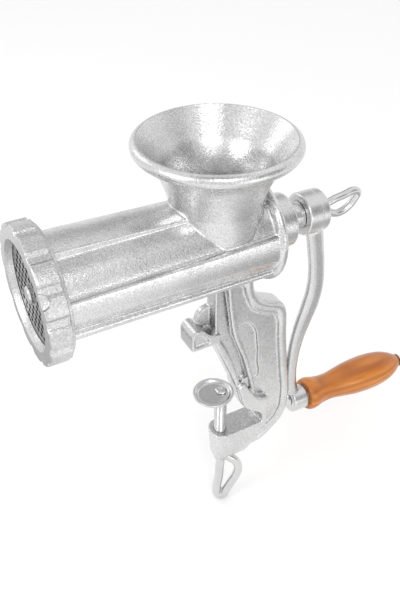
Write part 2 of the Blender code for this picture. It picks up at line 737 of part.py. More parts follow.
def flight_mesh():
    """The feed screw's helical flight: a section that narrows to its tip, swept with a shortening pitch."""
    start = FEED_FRONT + FLIGHT_ROOT_THICKNESS / 2
    end = FEED_BACK - FLIGHT_ROOT_THICKNESS
    count = round(FLIGHT_TURNS * 20)
    rings = []
    for i in range(count + 1):
        share = i / count
        along = start + (end - start) * (share - FLIGHT_SLOWING_SHARE * share * (1 - share))
        turn = FLIGHT_TURNS * math.tau * share
        root = (CORE_RADIUS_FRONT + (CORE_RADIUS_REAR - CORE_RADIUS_FRONT) * share) * CORE_ROOT_SHARE
        tip = BORE_RADIUS - FLIGHT_CLEARANCE
        section = ((root, -FLIGHT_ROOT_THICKNESS / 2), (tip, -FLIGHT_TIP_THICKNESS / 2),
                   (tip, FLIGHT_TIP_THICKNESS / 2), (root, FLIGHT_ROOT_THICKNESS / 2))
        rings.append([(r * math.cos(turn), r * math.sin(turn), along + h) for r, h in section])
    mesh = loft(rings)
    mesh.transform(along_x())
    return mesh


def feed_screw():
    shoulder = FEED_BACK - FLIGHT_ROOT_THICKNESS
    core = [(0, SHAFT_END - SQUARE_LENGTH), (SHAFT_RADIUS, SHAFT_END - SQUARE_LENGTH),
            (SHAFT_RADIUS, FEED_BACK),
            (SHAFT_RADIUS * 1.45, FEED_BACK), (SHAFT_RADIUS * 1.45, FEED_BACK - WASHER_THICKNESS),
            (CORE_RADIUS_REAR, shoulder), (CORE_RADIUS_FRONT, FEED_FRONT), (0, FEED_FRONT)]
    piece = add_piece("feed_screw", turned(core, False, 32, along_x()), IRON)
    square = block((SQUARE_LENGTH + OVERRUN, SQUARE_SIZE, SQUARE_SIZE),
                   (HOPPER_X + SHAFT_END - (SQUARE_LENGTH + OVERRUN) / 2, 0, AXIS_Z), Matrix.Identity(4))
    combine(piece, "UNION", [("square_form", square)])
    stud_hole = STUD_SHANK_RADIUS + CLEARANCE
    thumb_hole = THUMB_SHANK_RADIUS + CLEARANCE
    combine(piece, "DIFFERENCE", [
        ("stud_cut", rod(stud_hole, FEED_FRONT - OVERRUN, FEED_FRONT + STUD_SHANK_LENGTH + CLEARANCE, 16,
                         along_x())),
        ("thumb_cut", rod(thumb_hole, SHAFT_END - THUMB_SHANK_LENGTH, SHAFT_END + OVERRUN, 16, along_x())),
    ])
    combine(piece, "UNION", [("flight_form", flight_mesh())])


SQUARE_LENGTH = SHAFT_END - HUB_START + CLEARANCE


def thrust_washer():
    add_piece("thrust_washer", tube_ring(SHAFT_RADIUS * 1.45, SHAFT_RADIUS + CLEARANCE, FEED_BACK + CLEARANCE,
                                         FEED_BACK + CLEARANCE + WASHER_THICKNESS, 32, along_x()), FIBRE)


def knife_stud():
    """Round shank in the feed screw, square for the knife, round end in the plate."""
    shank_end = FEED_FRONT + STUD_SHANK_LENGTH
    shank = rod(STUD_SHANK_RADIUS, FEED_FRONT - CLEARANCE, shank_end, 16, along_x())
    piece = add_piece("knife_stud", shank, STEEL)
    length = KNIFE_BACK - PLATE_BACK
    centre = (HOPPER_X + (KNIFE_BACK + PLATE_BACK) / 2, 0, AXIS_Z)
    square = block((length, STUD_SQUARE, STUD_SQUARE), centre, Matrix.Identity(4))
    point = PLATE_FRONT - STUD_PROUD
    chamfer = STUD_RADIUS / 5
    end = turned([(0, PLATE_BACK + CLEARANCE), (STUD_RADIUS, PLATE_BACK + CLEARANCE),
                  (STUD_RADIUS, point + chamfer),
                  (STUD_RADIUS - chamfer, point), (0, point)], False, 16, along_x())
    combine(piece, "UNION", [("stud_square_form", square), ("stud_end_form", end)])


def knife_outline():
    """Four swept blades round a hub, with a square hole."""
    run = []
    for blade in range(4):
        base = blade * math.pi / 2
        half = KNIFE_HUB_RADIUS * KNIFE_BLADE_SHARE
        valley = math.pi / 4 * KNIFE_VALLEY_SHARE
        root = KNIFE_HUB_RADIUS * KNIFE_ROOT_SHARE
        spots = [(KNIFE_HUB_RADIUS, -valley, None), (None, -half, root)]
        spots += [(None, half * across, KNIFE_RADIUS * out) for across, out in KNIFE_TIP_SHARES]
        spots.append((None, half, root))
        for radius, across, out in spots:
            if out is None:
                x, y = radius * math.cos(across), radius * math.sin(across)
            else:
                x, y = out, across
            run.append((x * math.cos(base) - y * math.sin(base), x * math.sin(base) + y * math.cos(base),
                        False))
    half_square = STUD_SQUARE / 2 + CLEARANCE
    hole = [(half_square, half_square, False), (-half_square, half_square, False),
            (-half_square, -half_square, False), (half_square, -half_square, False)]
    return [run, hole]


def cross_knife():
    front = PLATE_BACK + CLEARANCE
    back = KNIFE_BACK
    add_piece("cross_knife", fill_outline(knife_outline(), (back - front) / 2, barrel_section(front, back)),
              STEEL)


def plate_outline():
    """The plate's edge with its key notch, its centre hole and its staggered rows of holes."""
    half_notch = KEY_RADIUS + CLEARANCE
    edge_turn = math.asin(half_notch / PLATE_RADIUS)
    floor = -(PLATE_RADIUS - KEY_REACH)
    rim = [(x, y, False) for x, y in arc(PLATE_RADIUS, edge_turn - math.pi / 2, math.pi * 1.5 - edge_turn,
                                         46)]
    rim += [(-half_notch, floor, False), (half_notch, floor, False)]
    loops = [rim, circle(STUD_RADIUS + CLEARANCE, 16)]
    row_height = PLATE_HOLE_PITCH * math.sqrt(3) / 2
    reach = PLATE_RADIUS - PLATE_RIM - PLATE_HOLE_RADIUS
    rows = int(reach / row_height)
    for row in range(-rows, rows + 1):
        shift = PLATE_HOLE_PITCH / 2 if row % 2 else 0.0
        places = int(reach / PLATE_HOLE_PITCH) + 1
        for place in range(-places, places + 1):
            x = place * PLATE_HOLE_PITCH + shift
            y = row * row_height
            if STUD_RADIUS * 1.35 + PLATE_HOLE_RADIUS < math.hypot(x, y) < reach:
                loops.append(circle(PLATE_HOLE_RADIUS, 8, x, y, math.pi / 8))
    return loops


def hole_plate():
    add_piece("hole_plate", fill_outline(plate_outline(), PLATE_THICKNESS / 2,
                                         barrel_section(PLATE_FRONT, PLATE_BACK)),
              STEEL)


def ring_outline():
    """Flat lobes with shallow valleys, as one loop."""
    run = []
    pitch = math.tau / RING_LOBES
    for lobe in range(RING_LOBES):
        base = RING_PHASE + pitch * lobe + pitch / 2
        for turn_share, depth_share in RING_LOBE_SHARES:
            turn = base + turn_share * pitch
            radius = RING_RADIUS - RING_VALLEY * depth_share
            run.append((radius * math.cos(turn), radius * math.sin(turn), False))
    return run


def ring_nut():
    lobed_back = RING_FRONT + RING_LENGTH - RING_COLLAR
    lobed = fill_outline([ring_outline()], (lobed_back - RING_FRONT) / 2,
                         barrel_section(RING_FRONT, lobed_back))
    piece = add_piece("ring_nut", lobed, IRON)
    combine(piece, "UNION", [
        ("collar_form", rod(RING_COLLAR_RADIUS, lobed_back - OVERRUN / 2, RING_FRONT + RING_LENGTH, STEPS,
                            along_x())),
    ])
    thread = THREAD_RADIUS + CLEARANCE
    shelf = RING_FRONT + RING_LIP
    inside = [(0, RING_FRONT + RING_LENGTH + OVERRUN), (thread, RING_FRONT + RING_LENGTH + OVERRUN),
              (thread, shelf),
              (RING_APERTURE, shelf), (RING_APERTURE, RING_FRONT - OVERRUN), (0, RING_FRONT - OVERRUN)]
    radial = (Matrix.Translation((HOPPER_X + RING_FRONT, 0,
                                  AXIS_Z)) @ Matrix.Rotation(RING_NOTCH_ANGLE, 4, "X")
              @ Matrix.Rotation(-math.pi / 2, 4, "X"))
    notch = turned([(0, RING_RADIUS + OVERRUN), (RING_NOTCH_RADIUS, RING_RADIUS + OVERRUN),
                    (RING_NOTCH_RADIUS, RING_RADIUS - RING_NOTCH_DEPTH), (0, RING_RADIUS - RING_NOTCH_DEPTH)],
                   False, 16, radial)
    combine(piece, "DIFFERENCE", [("ring_cut", turned(inside, False, STEPS, along_x())),
                                  ("notch_cut", notch)])


# Crank and handle


def arm_mesh():
    """An oval arm that bows away from the barrel, then back in past the leg to its lower boss."""
    points = []
    widths = []
    for drop_share, reach_share, width in ARM_SHARES:
        points.append((HUB_START + ARM_REACH * reach_share, 0, -CRANK_DROP * drop_share))
        widths.append(width)
    mesh = wire(points, ARM_WIDTH / 2, False, Matrix.Identity(4), 2, widths)
    mesh.transform(Matrix.Diagonal((1, ARM_THICKNESS / ARM_WIDTH, 1, 1)))
    mesh.transform(Matrix.Translation((HOPPER_X, 0, AXIS_Z)))
    return mesh


def crank_arm():
    edge = HUB_RADIUS / 14
    hub = turned([(0, HUB_START + HUB_LENGTH), (HUB_RADIUS - edge, HUB_START + HUB_LENGTH),
                  (HUB_RADIUS, HUB_START + HUB_LENGTH - edge), (HUB_RADIUS, HUB_START + edge),
                  (HUB_RADIUS - edge, HUB_START), (0, HUB_START)], False, 32, along_x())
    piece = add_piece("crank_arm", hub, IRON)
    low = along_handle()
    boss = rod(CRANK_BOSS_RADIUS, -CRANK_BOSS_LENGTH / 2, CRANK_BOSS_LENGTH / 2, 24, low)
    combine(piece, "UNION", [("arm_form", arm_mesh()), ("crank_boss_form", boss)])
    socket = SQUARE_SIZE + 2 * CLEARANCE
    hole = block((HUB_LENGTH + 2 * OVERRUN, socket, socket), (HOPPER_X + HUB_START + HUB_LENGTH / 2, 0,
                                                              AXIS_Z),
                 Matrix.Identity(4))
    reach = CRANK_BOSS_LENGTH / 2 + OVERRUN
    spindle_hole = rod(SPINDLE_RADIUS + CLEARANCE, -reach, reach, 16, low)
    combine(piece, "DIFFERENCE", [("socket_cut", hole), ("spindle_cut", spindle_hole)])


def loop_mesh(shares, length, wire_radius, turn, matrix):
    """The finger loop of a thumb screw, hanging down local -Z from the origin."""
    points = [(across * length, 0, -along * length) for across, along in shares]
    return wire(points, wire_radius, True, matrix @ Matrix.Rotation(turn, 4, "Z"), 2)


def crank_thumb_screw():
    face = HUB_START + HUB_LENGTH + CLEARANCE
    shank_start = SHAFT_END - THUMB_SHANK_LENGTH + CLEARANCE
    collar_end = face + THUMB_COLLAR_LENGTH
    body = turned([(0, collar_end), (THUMB_COLLAR_RADIUS, collar_end), (THUMB_COLLAR_RADIUS, face),
                   (THUMB_SHANK_RADIUS, face), (THUMB_SHANK_RADIUS, shank_start), (0, shank_start)],
                  False, SMALL_STEPS, along_x())
    piece = add_piece("crank_thumb_screw", body, STEEL)
    flip = along_x(x=collar_end - THUMB_LOOP_WIRE / 2) @ Matrix.Rotation(math.pi, 4, "X")
    loop = loop_mesh(THUMB_LOOP_SHARES, THUMB_LOOP_LENGTH, THUMB_LOOP_WIRE, THUMB_LOOP_TURN, flip)
    combine(piece, "UNION", [("thumb_loop_form", loop)])


# Places along the handle's spindle, from the middle of the crank's lower boss
WASHER_A_START = CRANK_BOSS_LENGTH / 2 + CLEARANCE
HANDLE_START = WASHER_A_START + HANDLE_WASHER_THICKNESS + CLEARANCE
HANDLE_END = HANDLE_START + HANDLE_LENGTH
WASHER_B_START = HANDLE_END + CLEARANCE
SPINDLE_HEAD_START = WASHER_B_START + HANDLE_WASHER_THICKNESS + CLEARANCE


def handle_spindle():
    head_end = SPINDLE_HEAD_START + SPINDLE_HEAD_LENGTH
    rivet = SPINDLE_HEAD_RADIUS
    tail = -CRANK_BOSS_LENGTH / 2 - CLEARANCE
    profile = [(0, head_end), (rivet * RIVET_CROWN_SHARE, head_end),
               (rivet, SPINDLE_HEAD_START + SPINDLE_HEAD_LENGTH / 3),
               (rivet, SPINDLE_HEAD_START), (SPINDLE_RADIUS, SPINDLE_HEAD_START), (SPINDLE_RADIUS, tail),
               (rivet, tail), (rivet * RIVET_TAIL_SHARE, tail - SPINDLE_HEAD_LENGTH / 2),
               (0, tail - SPINDLE_HEAD_LENGTH / 2)]
    add_piece("handle_spindle", turned(profile, False, 16, along_handle()), STEEL)


def handle_washers():
    hole = SPINDLE_RADIUS + CLEARANCE
    for name, radius, start in (("handle_washer", HANDLE_WASHER_RADIUS, WASHER_A_START),
                                ("handle_end_washer", END_WASHER_RADIUS, WASHER_B_START)):
        add_piece(name, tube_ring(radius, hole, start, start + HANDLE_WASHER_THICKNESS, 20, along_handle()),
                  STEEL)


def wooden_handle():
    outer = [(radius * HANDLE_RADIUS, HANDLE_START + along * HANDLE_LENGTH) for along,
             radius in reversed(HANDLE_SHARES)]
    bore = SPINDLE_RADIUS + CLEARANCE
    profile = outer + [(bore, HANDLE_START), (bore, HANDLE_END)]
    add_piece("wooden_handle", turned(profile, True, 28, along_handle()), WOOD)


# Clamp


def clamp_disc():
    """A dished foot that the clamp screw's tip holds off centre, with a short collar on its shoulder."""
    top = -DISC_DROP
    seat = top - DISC_DISH
    low = seat - DISC_THICKNESS
    rim = DISC_THICKNESS / 4
    dish = [(0, seat), (DISC_FLOOR_RADIUS, seat), (DISC_RADIUS - 3 * rim, top), (DISC_RADIUS - rim, top),
            (DISC_RADIUS, top - rim), (DISC_RADIUS - rim, top - DISC_THICKNESS), (DISC_FLOOR_RADIUS, low),
            (0, low)]
    middle = along_screw() @ Matrix.Translation((DISC_SHIFT, 0, 0))
    piece = add_piece("clamp_disc", turned(dish, False, 36, middle), STEEL)
    collar = turned([(0, low + DISC_THICKNESS / 2), (DISC_HUB_RADIUS, low + DISC_THICKNESS / 2),
                     (DISC_HUB_RADIUS, low),
                     (DISC_HUB_RADIUS - rim, low - DISC_HUB_HEIGHT), (0, low - DISC_HUB_HEIGHT)],
                    False, SMALL_STEPS, along_screw())
    combine(piece, "UNION", [("disc_collar_form", collar)])
    hole = rod(SCREW_TIP_RADIUS + CLEARANCE, low - DISC_HUB_HEIGHT - OVERRUN, seat + OVERRUN, SMALL_STEPS,
               along_screw())
    combine(piece, "DIFFERENCE", [("disc_hole_cut", hole)])


def clamp_screw():
    """Peened tip over the disc, neck through it, plain shank in place of the thread, and a finger loop."""
    seat = -DISC_DROP - DISC_DISH
    shoulder = seat - DISC_THICKNESS - DISC_HUB_HEIGHT - CLEARANCE
    tip = seat + CLEARANCE
    foot = -(JAW_GAP + LOWER_JAW_HEIGHT) - CLAMP_LOOP_WIRE
    profile = [(0, tip + SCREW_HEAD_HEIGHT), (SCREW_HEAD_RADIUS * RIVET_CROWN_SHARE,
                                              tip + SCREW_HEAD_HEIGHT * RIVET_TAIL_SHARE),
               (SCREW_HEAD_RADIUS, tip), (SCREW_TIP_RADIUS, tip), (SCREW_TIP_RADIUS, shoulder),
               (SCREW_RADIUS, shoulder), (SCREW_RADIUS, foot), (0, foot)]
    piece = add_piece("clamp_screw", turned(profile, False, SMALL_STEPS, along_screw()), STEEL)
    low = along_screw() @ Matrix.Translation((0, 0, foot + CLAMP_LOOP_WIRE / 2 - 2 * CLEARANCE))
    loop = loop_mesh(CLAMP_LOOP_SHARES, CLAMP_LOOP_LENGTH, CLAMP_LOOP_WIRE, CLAMP_LOOP_TURN, low)
    combine(piece, "UNION", [("clamp_loop_form", loop)], welded=False)


def add_pivot(name, place, pieces, parent=None):
    """An empty on a joint's axis, which carries the pieces that move about it or along it."""
    pivot = bpy.data.objects.new(name, None)
    PARTS.objects.link(pivot)
    pivot.location = place
    if parent:
        pivot.parent = parent
        pivot.matrix_parent_inverse = Matrix.Translation(-parent_place(parent))
    for piece in pieces:
        carried = PARTS.objects[piece]
        carried.parent = pivot
        carried.matrix_parent_inverse = Matrix.Translation(-Vector(place))
    return pivot


def parent_place(pivot):
    """Where a pivot stands in the world; pivots only move each other, without turning."""
    bpy.context.view_layer.update()
    return pivot.matrix_world.translation


def add_pivots():
    axis = (HOPPER_X, 0, AXIS_Z)
    rotor = add_pivot("rotor_pivot", axis, ["feed_screw", "thrust_washer", "knife_stud", "cross_knife"])
    crank = add_pivot("crank_pivot", (HOPPER_X + HUB_START, 0, AXIS_Z),
                      ["crank_arm", "handle_spindle", "handle_washer", "handle_end_washer"], rotor)
    add_pivot("thumb_screw_pivot", (HOPPER_X + HUB_START + HUB_LENGTH, 0, AXIS_Z), ["crank_thumb_screw"],
              crank)
    add_pivot("handle_pivot", along_handle().translation, ["wooden_handle"], crank)
    plate = add_pivot("plate_pivot", (HOPPER_X + PLATE_FRONT, 0, AXIS_Z), ["hole_plate"])
    add_pivot("ring_pivot", (HOPPER_X + RING_FRONT, 0, AXIS_Z), ["ring_nut"], plate)
    disc = add_pivot("disc_pivot", (SCREW_X, 0, -DISC_DROP), ["clamp_disc"])
    add_pivot("clamp_screw_pivot", (SCREW_X, 0, -JAW_GAP), ["clamp_screw"], disc)


body_casting()
rear_bearing_bush()
plate_locating_pin()
feed_screw()
thrust_washer()
knife_stud()
cross_knife()
hole_plate()
ring_nut()
crank_arm()
crank_thumb_screw()
handle_spindle()
handle_washers()
wooden_handle()
clamp_disc()
clamp_screw()
add_pivots()
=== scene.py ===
"""Looks of the hand cranked meat grinder: fine cast surfaces, a real thread, wood, studio light and camera.

Metres, Z up, in the same frame as the solids. Places along the barrel are measured from the hopper's axis.
"""

import math

import bmesh
import bpy
from mathutils import Matrix, Vector

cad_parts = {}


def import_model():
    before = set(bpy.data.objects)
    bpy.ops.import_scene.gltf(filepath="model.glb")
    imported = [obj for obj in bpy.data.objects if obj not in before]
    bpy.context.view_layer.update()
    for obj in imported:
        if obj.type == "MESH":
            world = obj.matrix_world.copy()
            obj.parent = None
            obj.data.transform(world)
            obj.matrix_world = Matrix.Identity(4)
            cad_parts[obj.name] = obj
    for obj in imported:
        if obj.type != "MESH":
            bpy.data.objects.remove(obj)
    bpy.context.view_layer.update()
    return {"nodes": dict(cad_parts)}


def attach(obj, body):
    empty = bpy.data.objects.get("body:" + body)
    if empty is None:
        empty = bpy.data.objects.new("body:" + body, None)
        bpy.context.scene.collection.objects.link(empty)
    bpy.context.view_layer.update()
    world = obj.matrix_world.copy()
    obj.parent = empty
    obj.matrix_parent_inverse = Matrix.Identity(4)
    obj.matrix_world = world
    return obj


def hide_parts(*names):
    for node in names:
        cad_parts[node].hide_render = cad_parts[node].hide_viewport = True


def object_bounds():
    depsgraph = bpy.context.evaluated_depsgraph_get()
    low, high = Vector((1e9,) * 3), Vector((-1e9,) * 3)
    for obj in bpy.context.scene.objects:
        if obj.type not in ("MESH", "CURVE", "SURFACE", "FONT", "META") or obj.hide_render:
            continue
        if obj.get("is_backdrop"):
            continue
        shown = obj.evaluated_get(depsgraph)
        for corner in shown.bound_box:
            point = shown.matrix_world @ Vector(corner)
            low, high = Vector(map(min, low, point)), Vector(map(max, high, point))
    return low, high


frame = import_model()

# Places shared with the solids, in metres
HOPPER_X = 0.0125
AXIS_Z = 0.079
JAW_GAP = 0.0945
LOWER_JAW_HEIGHT = 0.0275
GAP = 0.0003
MOUTH = -0.1185
THREAD_RADIUS = 0.0376
THREAD_LENGTH = 0.0092
BORE_RADIUS = 0.0265
PLATE_RADIUS = 0.035
PLATE_THICKNESS = 0.0055
PLATE_FRONT = -0.1203
RING_FRONT = PLATE_FRONT - GAP - 0.004
REAR_INNER = 0.024
WALL_FRONT = 0.0265
WALL_BACK = 0.0335
BOSS_END = 0.0516
SHAFT_RADIUS = 0.0095
HUB_START = 0.0626
HUB_LENGTH = 0.017
RIM_HEIGHT = 0.0699
RIM_RADIUS = 0.0509
BEAD = 0.0043
NECK_RADIUS = 0.0288
HOPPER_WALL = 0.0042
LEG_THICKNESS = 0.013
SCREW_X = 0.0188
CRANK_DROP = 0.1745
CRANK_MIDDLE = 0.0762
HANDLE_TILT = math.radians(2.4)
LEG_X = HOPPER_X - 0.003
LEG_DEPTH = 0.066
PAD_DEPTH = 0.019
PAD_HEIGHT = 0.016
PAD_HALF_WIDTH = 0.009
PAD_X = LEG_X - PAD_DEPTH
JAW_HALF_WIDTH = 0.0103
JAW_NOSE_RADIUS = 0.0086
BARREL_RADIUS = 0.033
BARREL_LOW_RADIUS = 0.0294
TOP_BAND_HALF_WIDTH = 0.0132
PANEL_RADIUS = 0.0306
RIB_PLACE_RADIUS = 0.031
BOSS_RADIUS = 0.0182
WALL_RADIUS = 0.0347
RING_LENGTH = 0.0156
RING_VALLEY_RADIUS = 0.0405
RING_LOBE_RISE = 0.0021
RING_COLLAR_RADIUS = 0.0395
RING_COLLAR_LENGTH = 0.0023
RING_LIP = 0.004
RING_APERTURE = 0.031
HUB_RADIUS = 0.0146
CRANK_BOSS_RADIUS = 0.0098
CRANK_BOSS_HALF = 0.0065
ARM_REACH = 0.02
ARM_WIDTH = 0.0132
ARM_THICKNESS = 0.0096
HANDLE_RADIUS = 0.0146
HANDLE_LENGTH = 0.0968
HANDLE_BORE = 0.0032 + GAP
HANDLE_START = CRANK_BOSS_HALF + 2 * GAP + 0.0012
THUMB_LOOP_LENGTH = 0.031
THUMB_LOOP_RADIUS = 0.0028
CLAMP_LOOP_LENGTH = 0.0545
CLAMP_LOOP_RADIUS = 0.0036
DISC_TOP = -0.0533
SCREW_SEAT = DISC_TOP - 0.0022
DISC_LOW = SCREW_SEAT - 0.0024
DISC_COLLAR_LENGTH = 0.0035
DISC_OFFSET = 0.0064

# Front and rear values of the barrel's tapering section
TOP_BAND_RADII = (0.0339, 0.03)
LEDGE_DEGREES = (15.5, 18)
PANEL_DEGREES = (-22, -29)
RIB_DEGREES = (-31, -37)
RIB_RADII = (0.0035, 0.0025)

# Details that only this script shows
CAST_VOXEL = 0.0006
FINE_VOXEL = 0.00045
WIRE_VOXEL = 0.00035
LEG_EDGE = 0.0016
ROOT_EDGE = 0.0012
CHANNEL_DEPTH = 0.0048
LEAF_DEPTH = 0.004
LEG_CUT_HALF = 0.004
RIDGE_RADIUS = 0.0019
RIDGE_SUNK = 0.0009
BEAD_WIRE_RADIUS = 0.0036
BEAD_SUNK = 0.0018
WEB_CUT_HALF = 0.003
WEB_CUT_OUT = 0.0008
THREAD_CORE = 0.0039
THREAD_CREST = 0.0046
THREAD_PITCH = 0.0015
TIP_RADIUS = 0.0028


# Shape helpers


def along_x(x=0.0, y=0.0, z=0.0):
    return Matrix.Translation((HOPPER_X + x, y, AXIS_Z + z)) @ Matrix.Rotation(math.pi / 2, 4, "Y")


def upright(x=0.0, y=0.0, z=0.0):
    return Matrix.Translation((HOPPER_X + x, y, AXIS_Z + z))


def along_handle():
    turn = Matrix.Rotation(math.pi / 2 + HANDLE_TILT, 4, "Y")
    return Matrix.Translation((HOPPER_X + CRANK_MIDDLE, 0, AXIS_Z - CRANK_DROP)) @ turn


def arc(radius, start, end, steps):
    turns = [start + (end - start) * i / steps for i in range(steps + 1)]
    return [(radius * math.cos(turn), radius * math.sin(turn)) for turn in turns]


def eased(points, radius, steps=4, closed=False):
    """The same path with its corners rounded off."""
    made = []
    count = len(points)
    for i, point in enumerate(points):
        if not closed and i in (0, count - 1):
            made.append(point)
            continue
        here = Vector(point)
        before = Vector(points[i - 1]) - here
        after = Vector(points[(i + 1) % count]) - here
        reach = min(radius, before.length * 0.45, after.length * 0.45)
        start = here + before.normalized() * reach
        end = here + after.normalized() * reach
        for j in range(steps + 1):
            t = j / steps
            spot = start * (1 - t) ** 2 + here * 2 * t * (1 - t) + end * t * t
            made.append((spot.x, spot.y))
    return made


def frozen(source):
    bpy.context.view_layer.update()
    graph = bpy.context.evaluated_depsgraph_get()
    mesh = bpy.data.meshes.new_from_object(source.evaluated_get(graph))
    mesh.transform(source.matrix_world)
    bpy.data.objects.remove(source, do_unlink=True)
    return mesh


def welded(mesh, distance=0.00001):
    work = bmesh.new()
    work.from_mesh(mesh)
    bmesh.ops.remove_doubles(work, verts=work.verts, dist=distance)
    work.to_mesh(mesh)
    work.free()
    return mesh


def scratch(name, data):
    made = bpy.data.objects.new(name, data)
    bpy.context.scene.collection.objects.link(made)
    return made


def turned(profile, steps, matrix, closed=False):
    """A profile of (radius, height) points turned about Z."""
    work = bmesh.new()
    rows = []
    for radius, height in profile:
        if radius < 0.000001:
            rows.append([work.verts.new((0, 0, height))])
        else:
            ring = [(radius * math.cos(math.tau * i / steps), radius * math.sin(math.tau * i / steps), height)
                    for i in range(steps)]
            rows.append([work.verts.new(spot) for spot in ring])
    pairs = list(zip(rows, rows[1:]))
    if closed:
        pairs.append((rows[-1], rows[0]))
    for low, high in pairs:
        for i in range(steps):
            j = (i + 1) % steps
            if len(low) == 1 and len(high) == 1:
                continue
            if len(low) == 1:
                work.faces.new((low[0], high[j], high[i]))
            elif len(high) == 1:
                work.faces.new((low[i], low[j], high[0]))
            else:
                work.faces.new((low[i], low[j], high[j], high[i]))
    bmesh.ops.recalc_face_normals(work, faces=work.faces)
    mesh = bpy.data.meshes.new("turned")
    work.to_mesh(mesh)
    work.free()
    mesh.transform(matrix)
    return mesh


def rod(radius, start, end, steps, matrix):
    return turned([(0, end), (radius, end), (radius, start), (0, start)], steps, matrix)


def loft(rings):
    work = bmesh.new()
    rows = [[work.verts.new(point) for point in ring] for ring in rings]
    count = len(rows[0])
    for low, high in zip(rows, rows[1:]):
        for i in range(count):
            j = (i + 1) % count
            work.faces.new((low[i], low[j], high[j], high[i]))
    work.faces.new(list(reversed(rows[0])))
    work.faces.new(rows[-1])
    bmesh.ops.triangulate(work, faces=work.faces)
    bmesh.ops.recalc_face_normals(work, faces=work.faces)
    mesh = bpy.data.meshes.new("loft")
    work.to_mesh(mesh)
    work.free()
    return mesh


def outline(loop, half_thickness, y=0.0, resolution=8, bevel=0.0):
    """A side view of (x, z, smooth) points as a filled curve, with its thickness along Y and rounded edges."""
    curve = bpy.data.curves.new("outline", "CURVE")
    curve.dimensions = "2D"
    curve.fill_mode = "BOTH"
    curve.extrude = half_thickness - bevel
    if bevel:
        curve.bevel_depth = bevel
        curve.bevel_resolution = 5
        curve.offset = -bevel
    spline = curve.splines.new("BEZIER")
    spline.use_cyclic_u = True
    spline.resolution_u = resolution
    spline.bezier_points.add(len(loop) - 1)
    for knot, (across, up, smooth) in zip(spline.bezier_points, loop):
        knot.co = (across, up, 0)
        kind = "AUTO" if smooth else "VECTOR"
        knot.handle_left_type = kind
        knot.handle_right_type = kind
    source = scratch("outline", curve)
    source.matrix_world = Matrix.Translation((0, y, 0)) @ Matrix.Rotation(math.pi / 2, 4, "X")
    return welded(frozen(source))


def wire(points, radius, cyclic, matrix, widths=None, resolution=6, along=10):
    curve = bpy.data.curves.new("wire", "CURVE")
    curve.dimensions = "3D"
    curve.bevel_depth = radius
    curve.bevel_resolution = resolution
    curve.use_fill_caps = not cyclic
    spline = curve.splines.new("BEZIER")
    spline.use_cyclic_u = cyclic
    spline.resolution_u = along
    spline.bezier_points.add(len(points) - 1)
    for knot, place, width in zip(spline.bezier_points, points, widths or [1.0] * len(points)):
        knot.co = place
        knot.radius = width
        knot.handle_left_type = "AUTO"
        knot.handle_right_type = "AUTO"
    source = scratch("wire", curve)
    source.matrix_world = matrix
    return welded(frozen(source))


def block(size, centre, matrix=Matrix.Identity(4)):
    work = bmesh.new()
    bmesh.ops.create_cube(work, size=1.0)
    work.transform(matrix @ Matrix.Translation(centre) @ Matrix.Diagonal((*size, 1.0)))
    mesh = bpy.data.meshes.new("block")
    work.to_mesh(mesh)
    work.free()
    return mesh


def joined(meshes):
    work = bmesh.new()
    for mesh in meshes:
        work.from_mesh(mesh)
    made = bpy.data.meshes.new("joined")
    work.to_mesh(made)
    work.free()
    return made


def fused(meshes, voxel, passes):
    """Overlapping forms melted into one skin, with the soft corners of a casting."""
    source = scratch("fused", joined(meshes))
    melt = source.modifiers.new("Melt", "REMESH")
    melt.mode = "VOXEL"
    melt.voxel_size = voxel
    soften = source.modifiers.new("Soften", "SMOOTH")
    soften.factor = 0.5
    soften.iterations = passes
    return frozen(source)


def carved(mesh, tools):
    """The mesh less each of the tools."""
    source = scratch("carved", mesh)
    helpers = []
    for tool_mesh in tools:
        tool = scratch("tool", tool_mesh)
        helpers.append(tool)
        step = source.modifiers.new("Carve", "BOOLEAN")
        step.operation = "DIFFERENCE"
        step.solver = "MANIFOLD"
        step.object = tool
    made = frozen(source)
    for tool in helpers:
        bpy.data.objects.remove(tool, do_unlink=True)
    return made


def add_piece(name, mesh, body, material, replaces=(), sharp=40):
    """A shown piece of the object that moves with a body and may stand for solids."""
    made = bpy.data.objects.new(name, mesh)
    bpy.context.scene.collection.objects.link(made)
    mesh.materials.clear()
    mesh.materials.append(material)
    mesh.shade_smooth()
    mesh.set_sharp_from_angle(angle=math.radians(sharp))
    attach(made, body)
    if replaces:
        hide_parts(*replaces)
    return made


# Materials


def node(tree, kind, **values):
    made = tree.nodes.new(kind)
    for key, value in values.items():
        if key in made.inputs:
            made.inputs[key].default_value = value
        else:
            setattr(made, key, value)
    return made


def noise(tree, where, scale, detail=3.0, rough=0.55):
    made = node(tree, "ShaderNodeTexNoise", Scale=scale, Detail=detail, Roughness=rough)
    tree.links.new(where, made.inputs["Vector"])
    return made.outputs["Fac"]


def ranged(tree, source, low, high, start=0.3, end=0.7):
    made = node(tree, "ShaderNodeMapRange")
    made.inputs["From Min"].default_value = start
    made.inputs["From Max"].default_value = end
    made.inputs["To Min"].default_value = low
    made.inputs["To Max"].default_value = high
    tree.links.new(source, made.inputs["Value"])
    return made.outputs["Result"]


def new_material(name, colour, roughness, metallic):
    made = bpy.data.materials.new(name)
    made.use_nodes = True
    shader = made.node_tree.nodes["Principled BSDF"]
    shader.inputs["Base Color"].default_value = (*colour, 1.0)
    shader.inputs["Roughness"].default_value = roughness
    shader.inputs["Metallic"].default_value = metallic
    return made, made.node_tree, shader


def blended(tree, share, low, high):
    made = node(tree, "ShaderNodeMix", data_type="RGBA")
    tree.links.new(share, made.inputs["Factor"])
    made.inputs["A"].default_value = (*low, 1.0)
    made.inputs["B"].default_value = (*high, 1.0)
    return made.outputs["Result"]


